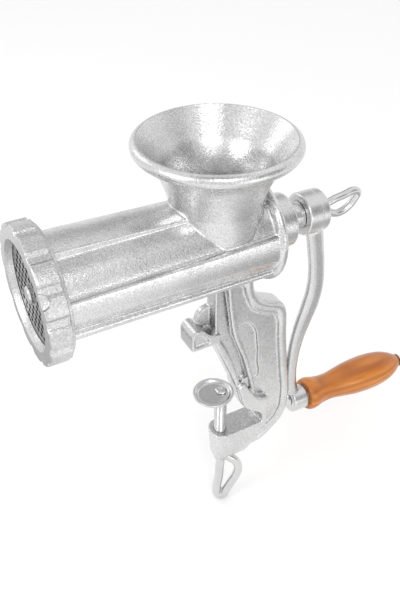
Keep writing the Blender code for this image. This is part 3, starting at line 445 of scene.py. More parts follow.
def metal(name, dark, light, smooth_rough, coarse_rough, grain, depth, crease_shade_reach=0.0, speckle=0.0):
    """Tinned or plated metal: slow blotches in colour and gloss, a fine sandy skin and painted shade that
    greys its creases and hollows.
    """
    made, tree, shader = new_material(name, light, smooth_rough, 1.0)
    where = node(tree, "ShaderNodeTexCoord").outputs["Object"]
    slow = noise(tree, where, 45.0, 3.0)
    middle = noise(tree, where, grain * 0.35, 2.0)
    fine = noise(tree, where, grain, 2.0)
    blotch = node(tree, "ShaderNodeMath", operation="MULTIPLY_ADD")
    tree.links.new(ranged(tree, fine, 0.0, 1.0, 0.3, 0.7), blotch.inputs[0])
    blotch.inputs[1].default_value = speckle
    tree.links.new(ranged(tree, slow, 0.0, 1.0 - speckle), blotch.inputs[2])
    colour = blended(tree, blotch.outputs["Value"], dark, light)
    # Painted shade: where the ambient occlusion node finds nearby surfaces, in creases, hollows and corners,
    # the colour is mixed towards flat grey.
    if crease_shade_reach:
        crease_shade = node(tree, "ShaderNodeAmbientOcclusion", samples=8)
        crease_shade.inputs["Distance"].default_value = crease_shade_reach
        mix = node(tree, "ShaderNodeMix", data_type="RGBA")
        tree.links.new(ranged(tree, crease_shade.outputs["AO"], 0.0, 1.0, 0.1, 0.8), mix.inputs["Factor"])
        mix.inputs["A"].default_value = (0.44, 0.44, 0.44, 1.0)
        tree.links.new(colour, mix.inputs["B"])
        colour = mix.outputs["Result"]
    tree.links.new(colour, shader.inputs["Base Color"])
    tree.links.new(ranged(tree, middle, smooth_rough, coarse_rough), shader.inputs["Roughness"])
    both = node(tree, "ShaderNodeMath", operation="MULTIPLY_ADD")
    tree.links.new(middle, both.inputs[0])
    both.inputs[1].default_value = 0.5
    tree.links.new(fine, both.inputs[2])
    bump = node(tree, "ShaderNodeBump", Distance=depth)
    tree.links.new(ranged(tree, slow, 1.0, 0.55), bump.inputs["Strength"])
    tree.links.new(both.outputs["Value"], bump.inputs["Height"])
    tree.links.new(bump.outputs["Normal"], shader.inputs["Normal"])
    return made


def drilled(name):
    """The hole plate's steel, with painted shade: the walls of its holes are painted near black."""
    made, tree, shader = new_material(name, (0.4, 0.4, 0.4), 0.3, 1.0)
    coordinates = node(tree, "ShaderNodeTexCoord")
    split = node(tree, "ShaderNodeSeparateXYZ")
    tree.links.new(coordinates.outputs["Normal"], split.inputs["Vector"])
    flat = node(tree, "ShaderNodeMath", operation="ABSOLUTE")
    tree.links.new(split.outputs["X"], flat.inputs[0])
    # Painted shade: faces whose normals lie across the plate's axis, the walls of its holes and its rim, are
    # painted near black; faces towards the axis keep the steel's colour.
    mix = node(tree, "ShaderNodeMix", data_type="RGBA")
    tree.links.new(ranged(tree, flat.outputs["Value"], 0.0, 1.0, 0.4, 0.8), mix.inputs["Factor"])
    mix.inputs["A"].default_value = (0.02, 0.02, 0.02, 1.0)
    tree.links.new(blended(tree, noise(tree, coordinates.outputs["Object"], 300.0), (0.3, 0.3, 0.3),
                           (0.48, 0.48, 0.48)),
                   mix.inputs["B"])
    tree.links.new(mix.outputs["Result"], shader.inputs["Base Color"])
    return made


def wood(name):
    """Varnished hardwood with its grain along the spindle."""
    made, tree, shader = new_material(name, (0.6, 0.22, 0.03), 0.36, 0.0)
    shader.inputs["Coat Weight"].default_value = 0.35
    shader.inputs["Coat Roughness"].default_value = 0.12
    where = node(tree, "ShaderNodeTexCoord").outputs["Object"]
    stretch = node(tree, "ShaderNodeMapping")
    stretch.inputs["Rotation"].default_value = (0, HANDLE_TILT, 0)
    stretch.inputs["Scale"].default_value = (0.12, 1.0, 1.0)
    tree.links.new(where, stretch.inputs["Vector"])
    grain = noise(tree, stretch.outputs["Vector"], 420.0, 4.0, 0.6)
    broad = noise(tree, stretch.outputs["Vector"], 90.0, 3.0, 0.5)
    rings = node(tree, "ShaderNodeTexWave", Scale=55.0, Distortion=9.0, Detail=2.5, wave_type="RINGS")
    tree.links.new(stretch.outputs["Vector"], rings.inputs["Vector"])
    first = blended(tree, ranged(tree, broad, 0.0, 1.0), (0.42, 0.11, 0.008), (0.66, 0.23, 0.025))
    second = node(tree, "ShaderNodeMix", data_type="RGBA")
    tree.links.new(ranged(tree, rings.outputs["Fac"], 0.0, 0.45, 0.35, 1.0), second.inputs["Factor"])
    tree.links.new(first, second.inputs["A"])
    second.inputs["B"].default_value = (0.3, 0.07, 0.005, 1.0)
    third = node(tree, "ShaderNodeMix", data_type="RGBA")
    tree.links.new(ranged(tree, grain, 0.0, 0.35, 0.45, 0.7), third.inputs["Factor"])
    tree.links.new(second.outputs["Result"], third.inputs["A"])
    third.inputs["B"].default_value = (0.36, 0.09, 0.007, 1.0)
    tree.links.new(third.outputs["Result"], shader.inputs["Base Color"])
    tree.links.new(ranged(tree, grain, 0.24, 0.36), shader.inputs["Roughness"])
    bump = node(tree, "ShaderNodeBump", Strength=0.35, Distance=0.0002)
    tree.links.new(grain, bump.inputs["Height"])
    tree.links.new(bump.outputs["Normal"], shader.inputs["Normal"])
    return made


# The reach given to most metals below sets how far their painted crease shade looks for nearby surfaces.
CAST = metal("tinned_cast_iron", (0.5, 0.5, 0.5), (0.83, 0.83, 0.83), 0.18, 0.3, grain=1000.0, depth=0.0002,
             crease_shade_reach=0.008, speckle=0.7)
CAST_RING = metal("tinned_ring", (0.44, 0.44, 0.44), (0.78, 0.78, 0.78), 0.28, 0.42, grain=1000.0,
                  depth=0.00026,
                  crease_shade_reach=0.006, speckle=0.8)
PLATED = metal("plated_steel", (0.6, 0.6, 0.6), (0.72, 0.72, 0.72), 0.16, 0.26, grain=1500.0, depth=0.00005,
               crease_shade_reach=0.003)
PLATE_STEEL = drilled("plate_steel")
CRANK = metal("tinned_crank", (0.58, 0.58, 0.58), (0.76, 0.76, 0.76), 0.22, 0.32, grain=1100.0, depth=0.00012,
              crease_shade_reach=0.006, speckle=0.5)
BUSH = metal("bearing_bronze", (0.42, 0.27, 0.1), (0.62, 0.43, 0.19), 0.3, 0.45, grain=1200.0, depth=0.0001)
WOOD = wood("varnished_beech")


def fibre():
    made, tree, shader = new_material("washer_fibre", (0.42, 0.19, 0.11), 0.7, 0.0)
    where = node(tree, "ShaderNodeTexCoord").outputs["Object"]
    tree.links.new(blended(tree, noise(tree, where, 900.0), (0.34, 0.14, 0.08), (0.5, 0.24, 0.14)),
                   shader.inputs["Base Color"])
    return made


FIBRE = fibre()


# Cast body


def level(share):
    if share <= 0:
        return -share * AXIS_Z
    if share <= 1:
        return -share * JAW_GAP
    return -JAW_GAP - (share - 1) * LOWER_JAW_HEIGHT


def leg_point(x_share, level_share):
    return LEG_X + x_share * LEG_DEPTH, level(level_share)


def smooth_run(points):
    return [(x, z, True) for x, z in points]


def corners(points):
    return [(x, z, False) for x, z in points]


THROAT = [(0.061, 0.138), (0.117, 0.233), (0.173, 0.333), (0.227, 0.434), (0.283, 0.545), (0.306, 0.614),
          (0.371, 0.762), (0.455, 0.83), (0.545, 0.872), (0.6, 0.915), (0.617, 0.965)]
OUTER = [(0.62, 1.87), (0.79, 1.61), (0.955, 1.16), (1.0, 0.857), (0.945, 0.455), (0.894, 0.14),
         (0.885, 0.01),
         (0.872, -0.1), (0.822, -0.178), (0.735, -0.212), (0.612, -0.262), (0.53, -0.32), (0.447, -0.45)]
EDGE_BEAD = [(0.385, -0.643), (0.39, -0.53), (0.404, -0.435), (0.438, -0.36), (0.5, -0.285), (0.6, -0.225),
             (0.731, -0.174), (0.788, -0.143), (0.824, -0.085), (0.841, 0.015), (0.85, 0.14), (0.898, 0.455),
             (0.954, 0.857), (0.914, 1.09), (0.765, 1.49), (0.606, 1.73), (0.45, 1.73)]
CHANNEL = [(0.03, -0.54), (0.03, -0.09), (0.064, 0.007), (0.133, 0.106), (0.205, 0.225), (0.255, 0.333),
           (0.308, 0.462), (0.4, 0.6), (0.495, 0.69), (0.505, 0.67), (0.371, 0.275), (0.242, 0.01),
           (0.15, -0.54)]
RIDGE = [(0.165, -0.54), (0.2, -0.25), (0.255, 0.01), (0.32, 0.15), (0.385, 0.275), (0.45, 0.45),
         (0.505, 0.64),
         (0.515, 0.72)]
WEB = [(0.2, -0.5), (0.33, -0.5), (0.38, -0.36), (0.48, -0.2), (0.62, -0.12), (0.745, -0.07), (0.79, 0.02),
       (0.81, 0.2), (0.86, 0.46), (0.905, 0.8), (0.86, 1.05), (0.72, 1.38), (0.6, 1.5), (0.55, 1.2),
       (0.54, 0.8),
       (0.5, 0.55), (0.42, 0.3), (0.31, 0.05), (0.24, -0.2)]
LEAF = [(0.28, -0.03), (0.388, -0.07), (0.5, 0.01), (0.553, 0.17), (0.568, 0.35), (0.545, 0.54),
        (0.462, 0.39),
        (0.356, 0.17), (0.295, 0.042)]


def between(front, rear, share):
    return front + (rear - front) * share


def barrel_half(share):
    """The barrel's section on the +Y side, from its top down, at a share of its length."""
    top = between(*TOP_BAND_RADII, share)
    ledge = math.radians(between(*LEDGE_DEGREES, share))
    panel = math.radians(between(*PANEL_DEGREES, share))
    rib_angle = math.radians(between(*RIB_DEGREES, share))
    rib_radius = between(*RIB_RADII, share)
    low = BARREL_LOW_RADIUS
    points = arc(top, math.pi / 2, math.acos(TOP_BAND_HALF_WIDTH / top), 6)
    points += arc(low, math.acos(TOP_BAND_HALF_WIDTH / low),
                  math.asin(BARREL_RADIUS * math.sin(ledge) / low), 14)
    points += arc(BARREL_RADIUS, ledge, panel / 3, 6)
    points.append((PANEL_RADIUS * math.cos(panel), PANEL_RADIUS * math.sin(panel)))
    rib_x = RIB_PLACE_RADIUS * math.cos(rib_angle)
    rib_z = RIB_PLACE_RADIUS * math.sin(rib_angle)
    points += [(rib_x + x, rib_z + z) for x, z in
               arc(rib_radius, rib_angle + math.radians(105), rib_angle - math.radians(80), 14)]
    points += arc(low, rib_angle - math.radians(10), -math.pi / 2, 10)
    return points


def barrel():
    start = THREAD_LENGTH + MOUTH - 0.001
    end = WALL_FRONT + 0.001
    rings = []
    for i in range(25):
        share = i / 24
        half = barrel_half(share)
        ring = half + [(-y, z) for y, z in reversed(half[1:-1])]
        rings.append([(HOPPER_X + between(start, end, share), y, AXIS_Z + z) for y, z in ring])
    return loft(rings)


def hopper_outer():
    spread = RIM_RADIUS - BEAD - NECK_RADIUS
    shares = [(0.01, 0.36), (0.04, 0.45), (0.13, 0.56), (0.24, 0.65), (0.38, 0.74), (0.56, 0.82)]
    return [(NECK_RADIUS, 0.0)] + [(NECK_RADIUS + share * spread / 0.78, up * RIM_HEIGHT) for share,
                                   up in shares]


def smooth_path(points, steps=5):
    """A smooth curve through (a, b) points."""
    made = []
    count = len(points)
    for i in range(count - 1):
        before = Vector(points[max(i - 1, 0)])
        here = Vector(points[i])
        after = Vector(points[i + 1])
        later = Vector(points[min(i + 2, count - 1)])
        for j in range(steps):
            t = j / steps
            spot = (here * 2 + (after - before) * t + (before * 2 - here * 5 + after * 4 - later) * t * t
                    + (here * 3 - before - after * 3 + later) * t ** 3) / 2
            made.append((spot.x, spot.y))
    made.append(tuple(points[-1]))
    return made


def hopper():
    centre_r = RIM_RADIUS - BEAD
    centre_z = RIM_HEIGHT - BEAD
    bead = [(centre_r + r, centre_z + z) for r, z in arc(BEAD, math.pi / 2, -math.pi / 2 - math.radians(20),
                                                         20)]
    side = smooth_path(hopper_outer() + [bead[-1]])
    return turned([(0, RIM_HEIGHT)] + bead[:-1] + list(reversed(side)) + [(0, 0.0)], 160, upright())


def hopper_void():
    inner = [(radius - HOPPER_WALL, height) for radius, height in hopper_outer()]
    mouth = RIM_RADIUS - BEAD - 0.0008
    inner[0] = (inner[0][0], BORE_RADIUS * 0.4)
    path = smooth_path(inner + [(mouth - 0.0002, RIM_HEIGHT - 0.0016),
                                (mouth + 0.0009, RIM_HEIGHT - 0.0001)], 6)
    path += [(mouth + 0.004, RIM_HEIGHT + 0.0015), (0, RIM_HEIGHT + 0.0015)]
    return turned([(0, inner[0][1])] + path, 160, upright())


def rear_wall():
    edge = WALL_RADIUS - 0.0025
    profile = [(0, BOSS_END), (BOSS_RADIUS - 0.001, BOSS_END), (BOSS_RADIUS, BOSS_END - 0.0012),
               (BOSS_RADIUS, WALL_BACK + 0.0026), (BOSS_RADIUS + 0.0023, WALL_BACK + 0.0006),
               (edge, WALL_BACK),
               (WALL_RADIUS, WALL_BACK - 0.0022), (WALL_RADIUS, WALL_FRONT + 0.002), (edge, WALL_FRONT),
               (0, WALL_FRONT)]
    return turned(eased(profile, 0.002), 128, along_x())


def bore():
    seat = PLATE_RADIUS + GAP
    hole = SHAFT_RADIUS + 2 * GAP + 0.0027
    floor = PLATE_FRONT + PLATE_THICKNESS + GAP
    profile = [(0, BOSS_END + 0.004), (hole, BOSS_END + 0.004), (hole, REAR_INNER), (BORE_RADIUS, REAR_INNER),
               (BORE_RADIUS, floor), (seat, floor), (seat, MOUTH - 0.004), (0, MOUTH - 0.004)]
    return turned(profile, 128, along_x())


def leg():
    """The C shaped leg's side view, with its throat towards the table's edge."""
    top = -0.646
    run = corners([leg_point(0.0, top), leg_point(0.0, 0.0)]) + smooth_run([leg_point(*s) for s in THROAT])
    run += corners([leg_point(0.615, 1.0), leg_point(0.3, 1.06), leg_point(0.36, 1.84)])
    run += smooth_run([leg_point(*s) for s in OUTER]) + corners([leg_point(0.44, top)])
    return outline(run, LEG_THICKNESS / 2, 0.0, 8, LEG_EDGE)


def root():
    """The leg's foot, as wide as the lower jaw."""
    inset = 2 * GAP
    run = [(x + inset, z) for x, z in [leg_point(*s) for s in THROAT[4:]]]
    foot_x, foot_z = leg_point(0.615, 1.0)
    back = leg_point(0.69, 1.0)[0]
    low = foot_z - LOWER_JAW_HEIGHT / 4
    loop = corners(run[:1]) + smooth_run(run[1:]) + corners([(foot_x + inset, foot_z), (foot_x + inset, low)])
    loop += corners([(back, low), (back, level(0.745))])
    loop += smooth_run([leg_point(*s) for s in ((0.66, 0.745), (0.55, 0.71), (0.44, 0.6), (0.35, 0.515))])
    return outline(loop, JAW_HALF_WIDTH - GAP, 0.0, 8, ROOT_EDGE)


def lower_jaw():
    rings = []
    for share, inset, nose, back_share in ((0.0, 0.0, 1.0, 0.68), (0.55, 0.55, 0.91, 0.6),
                                           (0.86, 0.86, 0.84, 0.47),
                                           (1.0, 1.35, 0.7, 0.42)):
        half = JAW_HALF_WIDTH - 0.0018 * inset
        back = leg_point(back_share, 1.0)[0]
        height = -JAW_GAP - LOWER_JAW_HEIGHT * share
        ring = [(SCREW_X + x * JAW_NOSE_RADIUS * nose, y * half, height)
                for x, y in arc(1, math.pi / 2, math.pi * 1.5, 32)]
        rings.append(ring + [(back, -half, height), (back, half, height)])
    return loft(rings)


def pad_points(shares):
    return [(PAD_X + x * PAD_DEPTH, z * PAD_HEIGHT) for x, z in shares]


def pad():
    loop = pad_points([(0.0, 0.0), (0.0, 0.62), (0.07, 0.86), (0.24, 1.0), (0.5, 0.9), (0.74, 0.6),
                       (1.0, 0.45)])
    back = LEG_X + LEG_THICKNESS / 4
    run = corners(loop[:2]) + smooth_run(loop[2:6]) + corners([loop[6], (back, loop[6][1]), (back, 0.0)])
    return outline(run, PAD_HALF_WIDTH)


def pad_hollow(side):
    loop = pad_points([(0.12, 0.16), (0.1, 0.55), (0.15, 0.73), (0.29, 0.82), (0.5, 0.7), (0.66, 0.42),
                       (0.76, 0.16)])
    return outline(corners(loop[:2]) + smooth_run(loop[2:5]) + corners(loop[5:]), 0.002,
                   side * PAD_HALF_WIDTH)


def gusset():
    loop = pad_points([(0.42, 0.7), (0.45, 1.0), (0.52, 1.3), (0.62, 1.48), (0.78, 1.58), (1.02, 1.63)])
    back = loop[-1][0] + 0.001
    run = corners(loop[:1]) + smooth_run(loop[1:5]) + corners([loop[5], (back, loop[5][1]),
                                                               (back, loop[0][1])])
    return outline(run, 0.0025, 0.0035)


def leg_cut(shares, side, depth, all_smooth=False):
    loop = [leg_point(*share) for share in shares]
    middle = side * (LEG_THICKNESS / 2 - depth + LEG_CUT_HALF)
    run = smooth_run(loop) if all_smooth else corners(loop[:2]) + smooth_run(loop[2:-2]) + corners(loop[-2:])
    return fused([outline(run, LEG_CUT_HALF, middle)], CAST_VOXEL, 6)


def ridge(side):
    """The narrow rib between the channel and the leg's web."""
    y = side * (LEG_THICKNESS / 2 - RIDGE_SUNK)
    run = [leg_point(*s) for s in RIDGE]
    return wire([(x, y, z) for x, z in run], RIDGE_RADIUS, False, Matrix.Identity(4))


def web_cut(side):
    """The web lies a little lower than the flange, between the ridge and the rim's bead."""
    loop = smooth_run([leg_point(*s) for s in WEB])
    return fused([outline(loop, WEB_CUT_HALF, side * (LEG_THICKNESS / 2 + WEB_CUT_OUT))], 1.5 * CAST_VOXEL,
                 14)


def edge_bead(side):
    """The rolled rim along the leg's rear edge."""
    y = side * (LEG_THICKNESS / 2 - BEAD_SUNK)
    run = [leg_point(*s) for s in EDGE_BEAD]
    return wire([(x, y, z) for x, z in run], BEAD_WIRE_RADIUS, False, Matrix.Identity(4))


def channel_foot():
    """Metal that fills the channel's lower end where it meets the root."""
    across = Matrix.Translation((0.037, 0, -0.0515)) @ Matrix.Rotation(math.pi / 2, 4, "X")
    return rod(0.0052, -0.0054, 0.0054, 40, across)


def casting():
    """Leg, jaws, barrel and hopper melted into one casting, then bored out."""
    cuts = [leg_cut(CHANNEL, 1, CHANNEL_DEPTH), leg_cut(CHANNEL, -1, CHANNEL_DEPTH),
            leg_cut(LEAF, 1, LEAF_DEPTH, True), leg_cut(LEAF, -1, LEAF_DEPTH, True)]
    webs = carved(fused([leg()], CAST_VOXEL, 2), cuts)
    arch = carved(fused([pad()], CAST_VOXEL, 1), [pad_hollow(1), pad_hollow(-1)])
    webs = carved(webs, [web_cut(1), web_cut(-1)])
    forms = [ridge(1), ridge(-1), barrel(), hopper(), rear_wall(),
             rod(THREAD_RADIUS, MOUTH, MOUTH + THREAD_LENGTH, 128, along_x()),
             webs, root(), lower_jaw(), arch, channel_foot(), gusset(), edge_bead(1), edge_bead(-1)]
    skin = fused(forms, CAST_VOXEL, 3)
    screw_hole = rod(0.0049, -JAW_GAP - LOWER_JAW_HEIGHT - 0.008, -JAW_GAP + 0.004, 48,
                     Matrix.Translation((SCREW_X, 0, 0)))
    skin = carved(skin, [bore(), hopper_void(), screw_hole])
    add_piece("cast_body", skin, "casting", CAST, ["body_casting"], 50)


# Ring nut and plate


def ring_nut():
    """The lobed nut, threaded inside, with a lip over the plate's rim and one notch."""
    lobes = 14
    phase = math.radians(94)
    back = RING_FRONT + RING_LENGTH - RING_COLLAR_LENGTH
    steps = 24
    section = []
    for lobe in range(lobes):
        for i in range(steps):
            share = i / steps - 0.5
            turn = phase + math.tau / lobes * (lobe + 0.5 + share)
            rise = min(max((0.41 - abs(share)) / 0.13, 0.0), 1.0)
            rise = rise * rise * (3 - 2 * rise)
            radius = RING_VALLEY_RADIUS + RING_LOBE_RISE * rise
            section.append((radius * math.cos(turn), radius * math.sin(turn)))
    rings = []
    for x, inset in ((RING_FRONT, 0.0009), (RING_FRONT + 0.0003, 0.0003), (RING_FRONT + 0.001, 0.0),
                     (back, 0.0)):
        share = 1 - inset / 0.042
        rings.append([(HOPPER_X + x, y * share, AXIS_Z + z * share) for y, z in section])
    collar = rod(RING_COLLAR_RADIUS, back - 0.002, back + RING_COLLAR_LENGTH, 128, along_x())
    skin = fused([loft(rings), collar], FINE_VOXEL, 3)
    thread = THREAD_RADIUS + GAP
    shelf = RING_FRONT + RING_LIP
    far = RING_FRONT + RING_LENGTH + 0.003
    inside = [(0, far), (thread, far), (thread, shelf), (RING_APERTURE, shelf),
              (RING_APERTURE + 0.0004, RING_FRONT + 0.003), (RING_APERTURE + 0.0024, RING_FRONT),
              (RING_APERTURE + 0.005, RING_FRONT - 0.003), (0, RING_FRONT - 0.003)]
    radial = (Matrix.Translation((HOPPER_X + RING_FRONT, 0,
                                  AXIS_Z)) @ Matrix.Rotation(math.radians(152), 4, "X")
              @ Matrix.Rotation(-math.pi / 2, 4, "X"))
    notch = turned(eased([(0, 0.046), (0.0048, 0.046), (0.0048, 0.0392), (0, 0.0385)], 0.0008), 48, radial)
    skin = carved(skin, [turned(inside, 128, along_x()), notch])
    add_piece("lobed_ring", skin, "ring", CAST_RING, ["ring_nut"], 50)


# Crank, handle and clamp screw

ARM = [(0.058, 0.6, 0.72), (0.095, 0.725, 1.02), (0.178, 0.87, 0.97), (0.281, 1.0, 0.97), (0.379, 1.02, 1.02),
       (0.459, 0.885, 1.05), (0.545, 0.65, 0.95), (0.614, 0.485, 0.86), (0.729, 0.335, 0.76),
       (0.861, 0.34, 0.74),
       (0.935, 0.47, 0.76), (0.98, 0.66, 0.68)]
HANDLE = [(0.0, 0.8), (0.012, 0.865), (0.045, 0.9), (0.08, 0.865), (0.13, 0.785), (0.2, 0.735), (0.27, 0.75),
          (0.36, 0.84), (0.46, 0.94), (0.56, 0.99), (0.66, 1.0), (0.76, 0.95), (0.85, 0.83), (0.925, 0.63),
          (0.975, 0.43), (1.0, 0.33)]
CLAMP_LOOP = [(0.05, 0.03), (0.15, 0.08), (0.24, 0.17), (0.28, 0.3), (0.255, 0.46), (0.18, 0.64),
              (0.115, 0.8),
              (0.06, 0.915), (-0.01, 0.9), (-0.03, 0.77), (0.0, 0.48), (0.015, 0.2)]
THUMB_LOOP = [(-0.04, 0.1), (0.12, 0.17), (0.23, 0.32), (0.27, 0.5), (0.2, 0.7), (0.02, 0.87), (-0.14, 0.93),
              (-0.21, 0.83), (-0.17, 0.55), (-0.11, 0.22)]


def along_screw():
    return Matrix.Translation((SCREW_X, 0, 0))


def crank():
    """Hub, S shaped arm and lower boss melted together, with the socket and the spindle's hole."""
    points = [(HUB_START + ARM_REACH * reach, 0, -CRANK_DROP * drop) for drop, reach, width in ARM]
    bar = wire(points, ARM_WIDTH / 2, False, Matrix.Identity(4), [width for drop, reach, width in ARM])
    bar.transform(Matrix.Diagonal((1, ARM_THICKNESS / ARM_WIDTH, 1, 1)))
    bar.transform(Matrix.Translation((HOPPER_X, 0, AXIS_Z)))
    rear = HUB_START + HUB_LENGTH
    seam = HUB_START + HUB_LENGTH * 0.64
    rim = HUB_RADIUS - 0.0002
    profile = [(0, rear), (rim - 0.001, rear), (rim, rear - 0.0012), (rim, seam + 0.0002),
               (rim - 0.0003, seam),
               (HUB_RADIUS, seam - 0.0004), (HUB_RADIUS, HUB_START + 0.001), (HUB_RADIUS - 0.0008, HUB_START),
               (0, HUB_START)]
    boss_profile = [(0, CRANK_BOSS_HALF), (CRANK_BOSS_RADIUS, CRANK_BOSS_HALF),
                    (CRANK_BOSS_RADIUS, -CRANK_BOSS_HALF),
                    (0, -CRANK_BOSS_HALF)]
    boss = turned(eased(boss_profile, 0.001), 96, along_handle())
    skin = fused([turned(profile, 128, along_x()), bar, boss], FINE_VOXEL, 4)
    socket = block((HUB_LENGTH + 0.008, 0.0131, 0.0131), (HOPPER_X + HUB_START + HUB_LENGTH / 2, 0, AXIS_Z))
    reach = CRANK_BOSS_HALF + 0.004
    hole = rod(0.0035, -reach, reach, 32, along_handle())
    add_piece("cast_crank", carved(skin, [socket, hole]), "crank", CRANK, ["crank_arm"], 50)


def handle():
    outer = smooth_path([(radius * HANDLE_RADIUS, HANDLE_START + along * HANDLE_LENGTH) for along,
                         radius in HANDLE], 6)
    profile = outer + [(HANDLE_BORE, HANDLE_START + HANDLE_LENGTH), (HANDLE_BORE, HANDLE_START)]
    add_piece("turned_handle", turned(profile, 96, along_handle(), closed=True), "handle", WOOD,
              ["wooden_handle"], 35)


def loop_wire(shares, length, radius, turn, matrix):
    points = [(across * length, 0, -along * length) for across, along in shares]
    return wire(points, radius, True, matrix @ Matrix.Rotation(turn, 4, "Z"), None, 8, 14)


def thumb_screw():
    face = HUB_START + HUB_LENGTH + GAP
    end = face + 0.0032
    start = HUB_START + HUB_LENGTH - 0.002 - 0.014 + GAP
    collar = turned(eased([(0, end), (0.0066, end), (0.0066, face), (0.0037, face), (0.0037, start),
                           (0, start)],
                          0.0006), 64, along_x())
    flip = along_x(x=end - 0.0014) @ Matrix.Rotation(math.pi, 4, "X")
    loop = loop_wire(THUMB_LOOP, THUMB_LOOP_LENGTH, THUMB_LOOP_RADIUS, math.radians(-4), flip)
    add_piece("thumb_loop", fused([collar, loop], WIRE_VOXEL, 3), "thumb_screw", PLATED,
              ["crank_thumb_screw"], 50)


def threaded(core, crest, pitch, start, end, matrix, steps=40):
    """A rod with a right-hand screw thread, closed at both ends."""
    work = bmesh.new()
    count = int((end - start) / pitch * 8)
    rows = []
    for k in range(count + 1):
        height = start + (end - start) * k / count
        fade = min((height - start) / pitch, (end - height) / pitch, 1.0)
        ring = []
        for i in range(steps):
            share = (height / pitch - i / steps) % 1.0
            rise = max(0.0, 1.0 - abs(share - 0.5) / 0.4) * fade
            radius = core + (crest - core) * min(rise * 1.25, 1.0)
            turn = math.tau * i / steps
            ring.append(work.verts.new((radius * math.cos(turn), radius * math.sin(turn), height)))
        rows.append(ring)
    for low, high in zip(rows, rows[1:]):
        for i in range(steps):
            j = (i + 1) % steps
            work.faces.new((low[i], low[j], high[j], high[i]))
    work.faces.new(list(reversed(rows[0])))
    work.faces.new(rows[-1])
    mesh = bpy.data.meshes.new("threaded")
    work.to_mesh(mesh)
    work.free()
    mesh.transform(matrix)
    return mesh


def peened_tip():
    """The screw's tip, spread over the disc in five petals."""
    rings = []
    base = SCREW_SEAT + GAP
    for radius, height, petal in ((TIP_RADIUS, -0.004, 0.0), (TIP_RADIUS, 0.0, 0.0), (0.0041, 0.0, 0.06),
                                  (0.0042, 0.0007, 0.09),
                                  (0.0034, 0.0014, 0.12), (0.0022, 0.0016, 0.12), (0.0011, 0.0011, 0.05)):
        ring = []
        for i in range(60):
            turn = math.tau * i / 60
            reach = radius * (1 + petal * math.cos(5 * turn))
            ring.append((SCREW_X + reach * math.cos(turn), reach * math.sin(turn), base + height))
        rings.append(ring)
    return loft(rings)


def clamp_screw():
    """The threaded shank under the disc, its peened tip and the loop that turns it."""
    shoulder = DISC_LOW - DISC_COLLAR_LENGTH - GAP
    foot = -(JAW_GAP + LOWER_JAW_HEIGHT) - 0.0035
    neck = rod(TIP_RADIUS, shoulder - 0.002, SCREW_SEAT + GAP + 0.0002, 40, along_screw())
    low = along_screw() @ Matrix.Translation((0, 0, foot + 0.00175))
    loop = loop_wire(CLAMP_LOOP, CLAMP_LOOP_LENGTH, CLAMP_LOOP_RADIUS, math.radians(-28), low)
    stub = rod(0.0045, foot - 0.001, foot + 0.006, 48, along_screw())
    shank = threaded(THREAD_CORE, THREAD_CREST, THREAD_PITCH, foot + 0.004, shoulder, along_screw())
    screw = joined([shank, neck, peened_tip(), fused([loop, stub], 0.0004, 3)])
    add_piece("threaded_screw", screw, "screw", PLATED, ["clamp_screw"], 40)


def clamp_disc():
    """The dished pressure disc, riveted on off its middle, with the collar under it."""
    top = DISC_TOP
    low = DISC_LOW
    dish = [(0, SCREW_SEAT), (0.0112, SCREW_SEAT), (0.0134, top - 0.0001), (0.0146, top),
            (0.0152, top - 0.0006),
            (0.0146, top - 0.0024), (0.0112, low), (0, low)]
    end = low - DISC_COLLAR_LENGTH
    collar = [(0, low + 0.0012), (0.0066, low + 0.0012), (0.0066, low), (0.006, end), (0, end)]
    middle = along_screw() @ Matrix.Translation((-DISC_OFFSET, 0, 0))
    forms = [turned(eased(dish, 0.0009), 128, middle), turned(eased(collar, 0.0005), 96, along_screw())]
    skin = fused(forms, WIRE_VOXEL, 3)
    hole = rod(0.0031, low - 0.0075, SCREW_SEAT + 0.004, 48, along_screw())
    add_piece("dished_foot", carved(skin, [hole]), "disc", PLATED, ["clamp_disc"], 40)


casting()
ring_nut()
crank()
handle()
thumb_screw()
clamp_screw()
clamp_disc()


# Carried pieces with finer looks

for name, finish in {"hole_plate": PLATE_STEEL, "cross_knife": PLATED, "knife_stud": PLATED,
                     "plate_locating_pin": PLATED, "handle_spindle": PLATED, "handle_washer": PLATED,
                     "handle_end_washer": PLATED, "feed_screw": CAST, "rear_bearing_bush": BUSH,
                     "thrust_washer": FIBRE}.items():
    kept = frame["nodes"][name]
    kept.data.materials.clear()
    kept.data.materials.append(finish)


# Studio

camera_data = bpy.data.cameras.new("camera")
camera_data.lens = 45.44
camera_data.sensor_width = 36.0
camera = scratch("camera", camera_data)
camera_place = Vector((-0.18878, -0.34836, 0.33607))
camera_aim = Vector((0.00128, 0.0, 0.03511))
camera.location = camera_place
camera.rotation_mode = "QUATERNION"
camera.rotation_quaternion = (camera_aim - camera_place).to_track_quat("-Z", "Y")
camera_data.clip_start = 0.01
camera_data.clip_end = 20
bpy.context.scene.camera = camera


def lamp(name, place, aim, size, power, shape=1.0):
    data = bpy.data.lights.new(name, "AREA")
    data.shape = "RECTANGLE"
    data.size = size
    data.size_y = size * shape
    data.energy = power
    made = scratch(name, data)
    made.location = place
    made.rotation_mode = "QUATERNION"
    made.rotation_quaternion = (Vector(aim) - Vector(place)).to_track_quat("-Z", "Y")
    return made


centre = (0.0, 0.0, 0.03)
lamp("key", (-1.0, -0.15, 0.55), centre, 0.5, 2.8)
lamp("fill", (-0.27, -0.87, 0.95), centre, 0.45, 2.6)
lamp("low", (0.35, -1.2, 0.0), centre, 0.5, 0.7, 0.3)
lamp("back", (-0.5, 1.0, 0.7), centre, 0.4, 0.8)


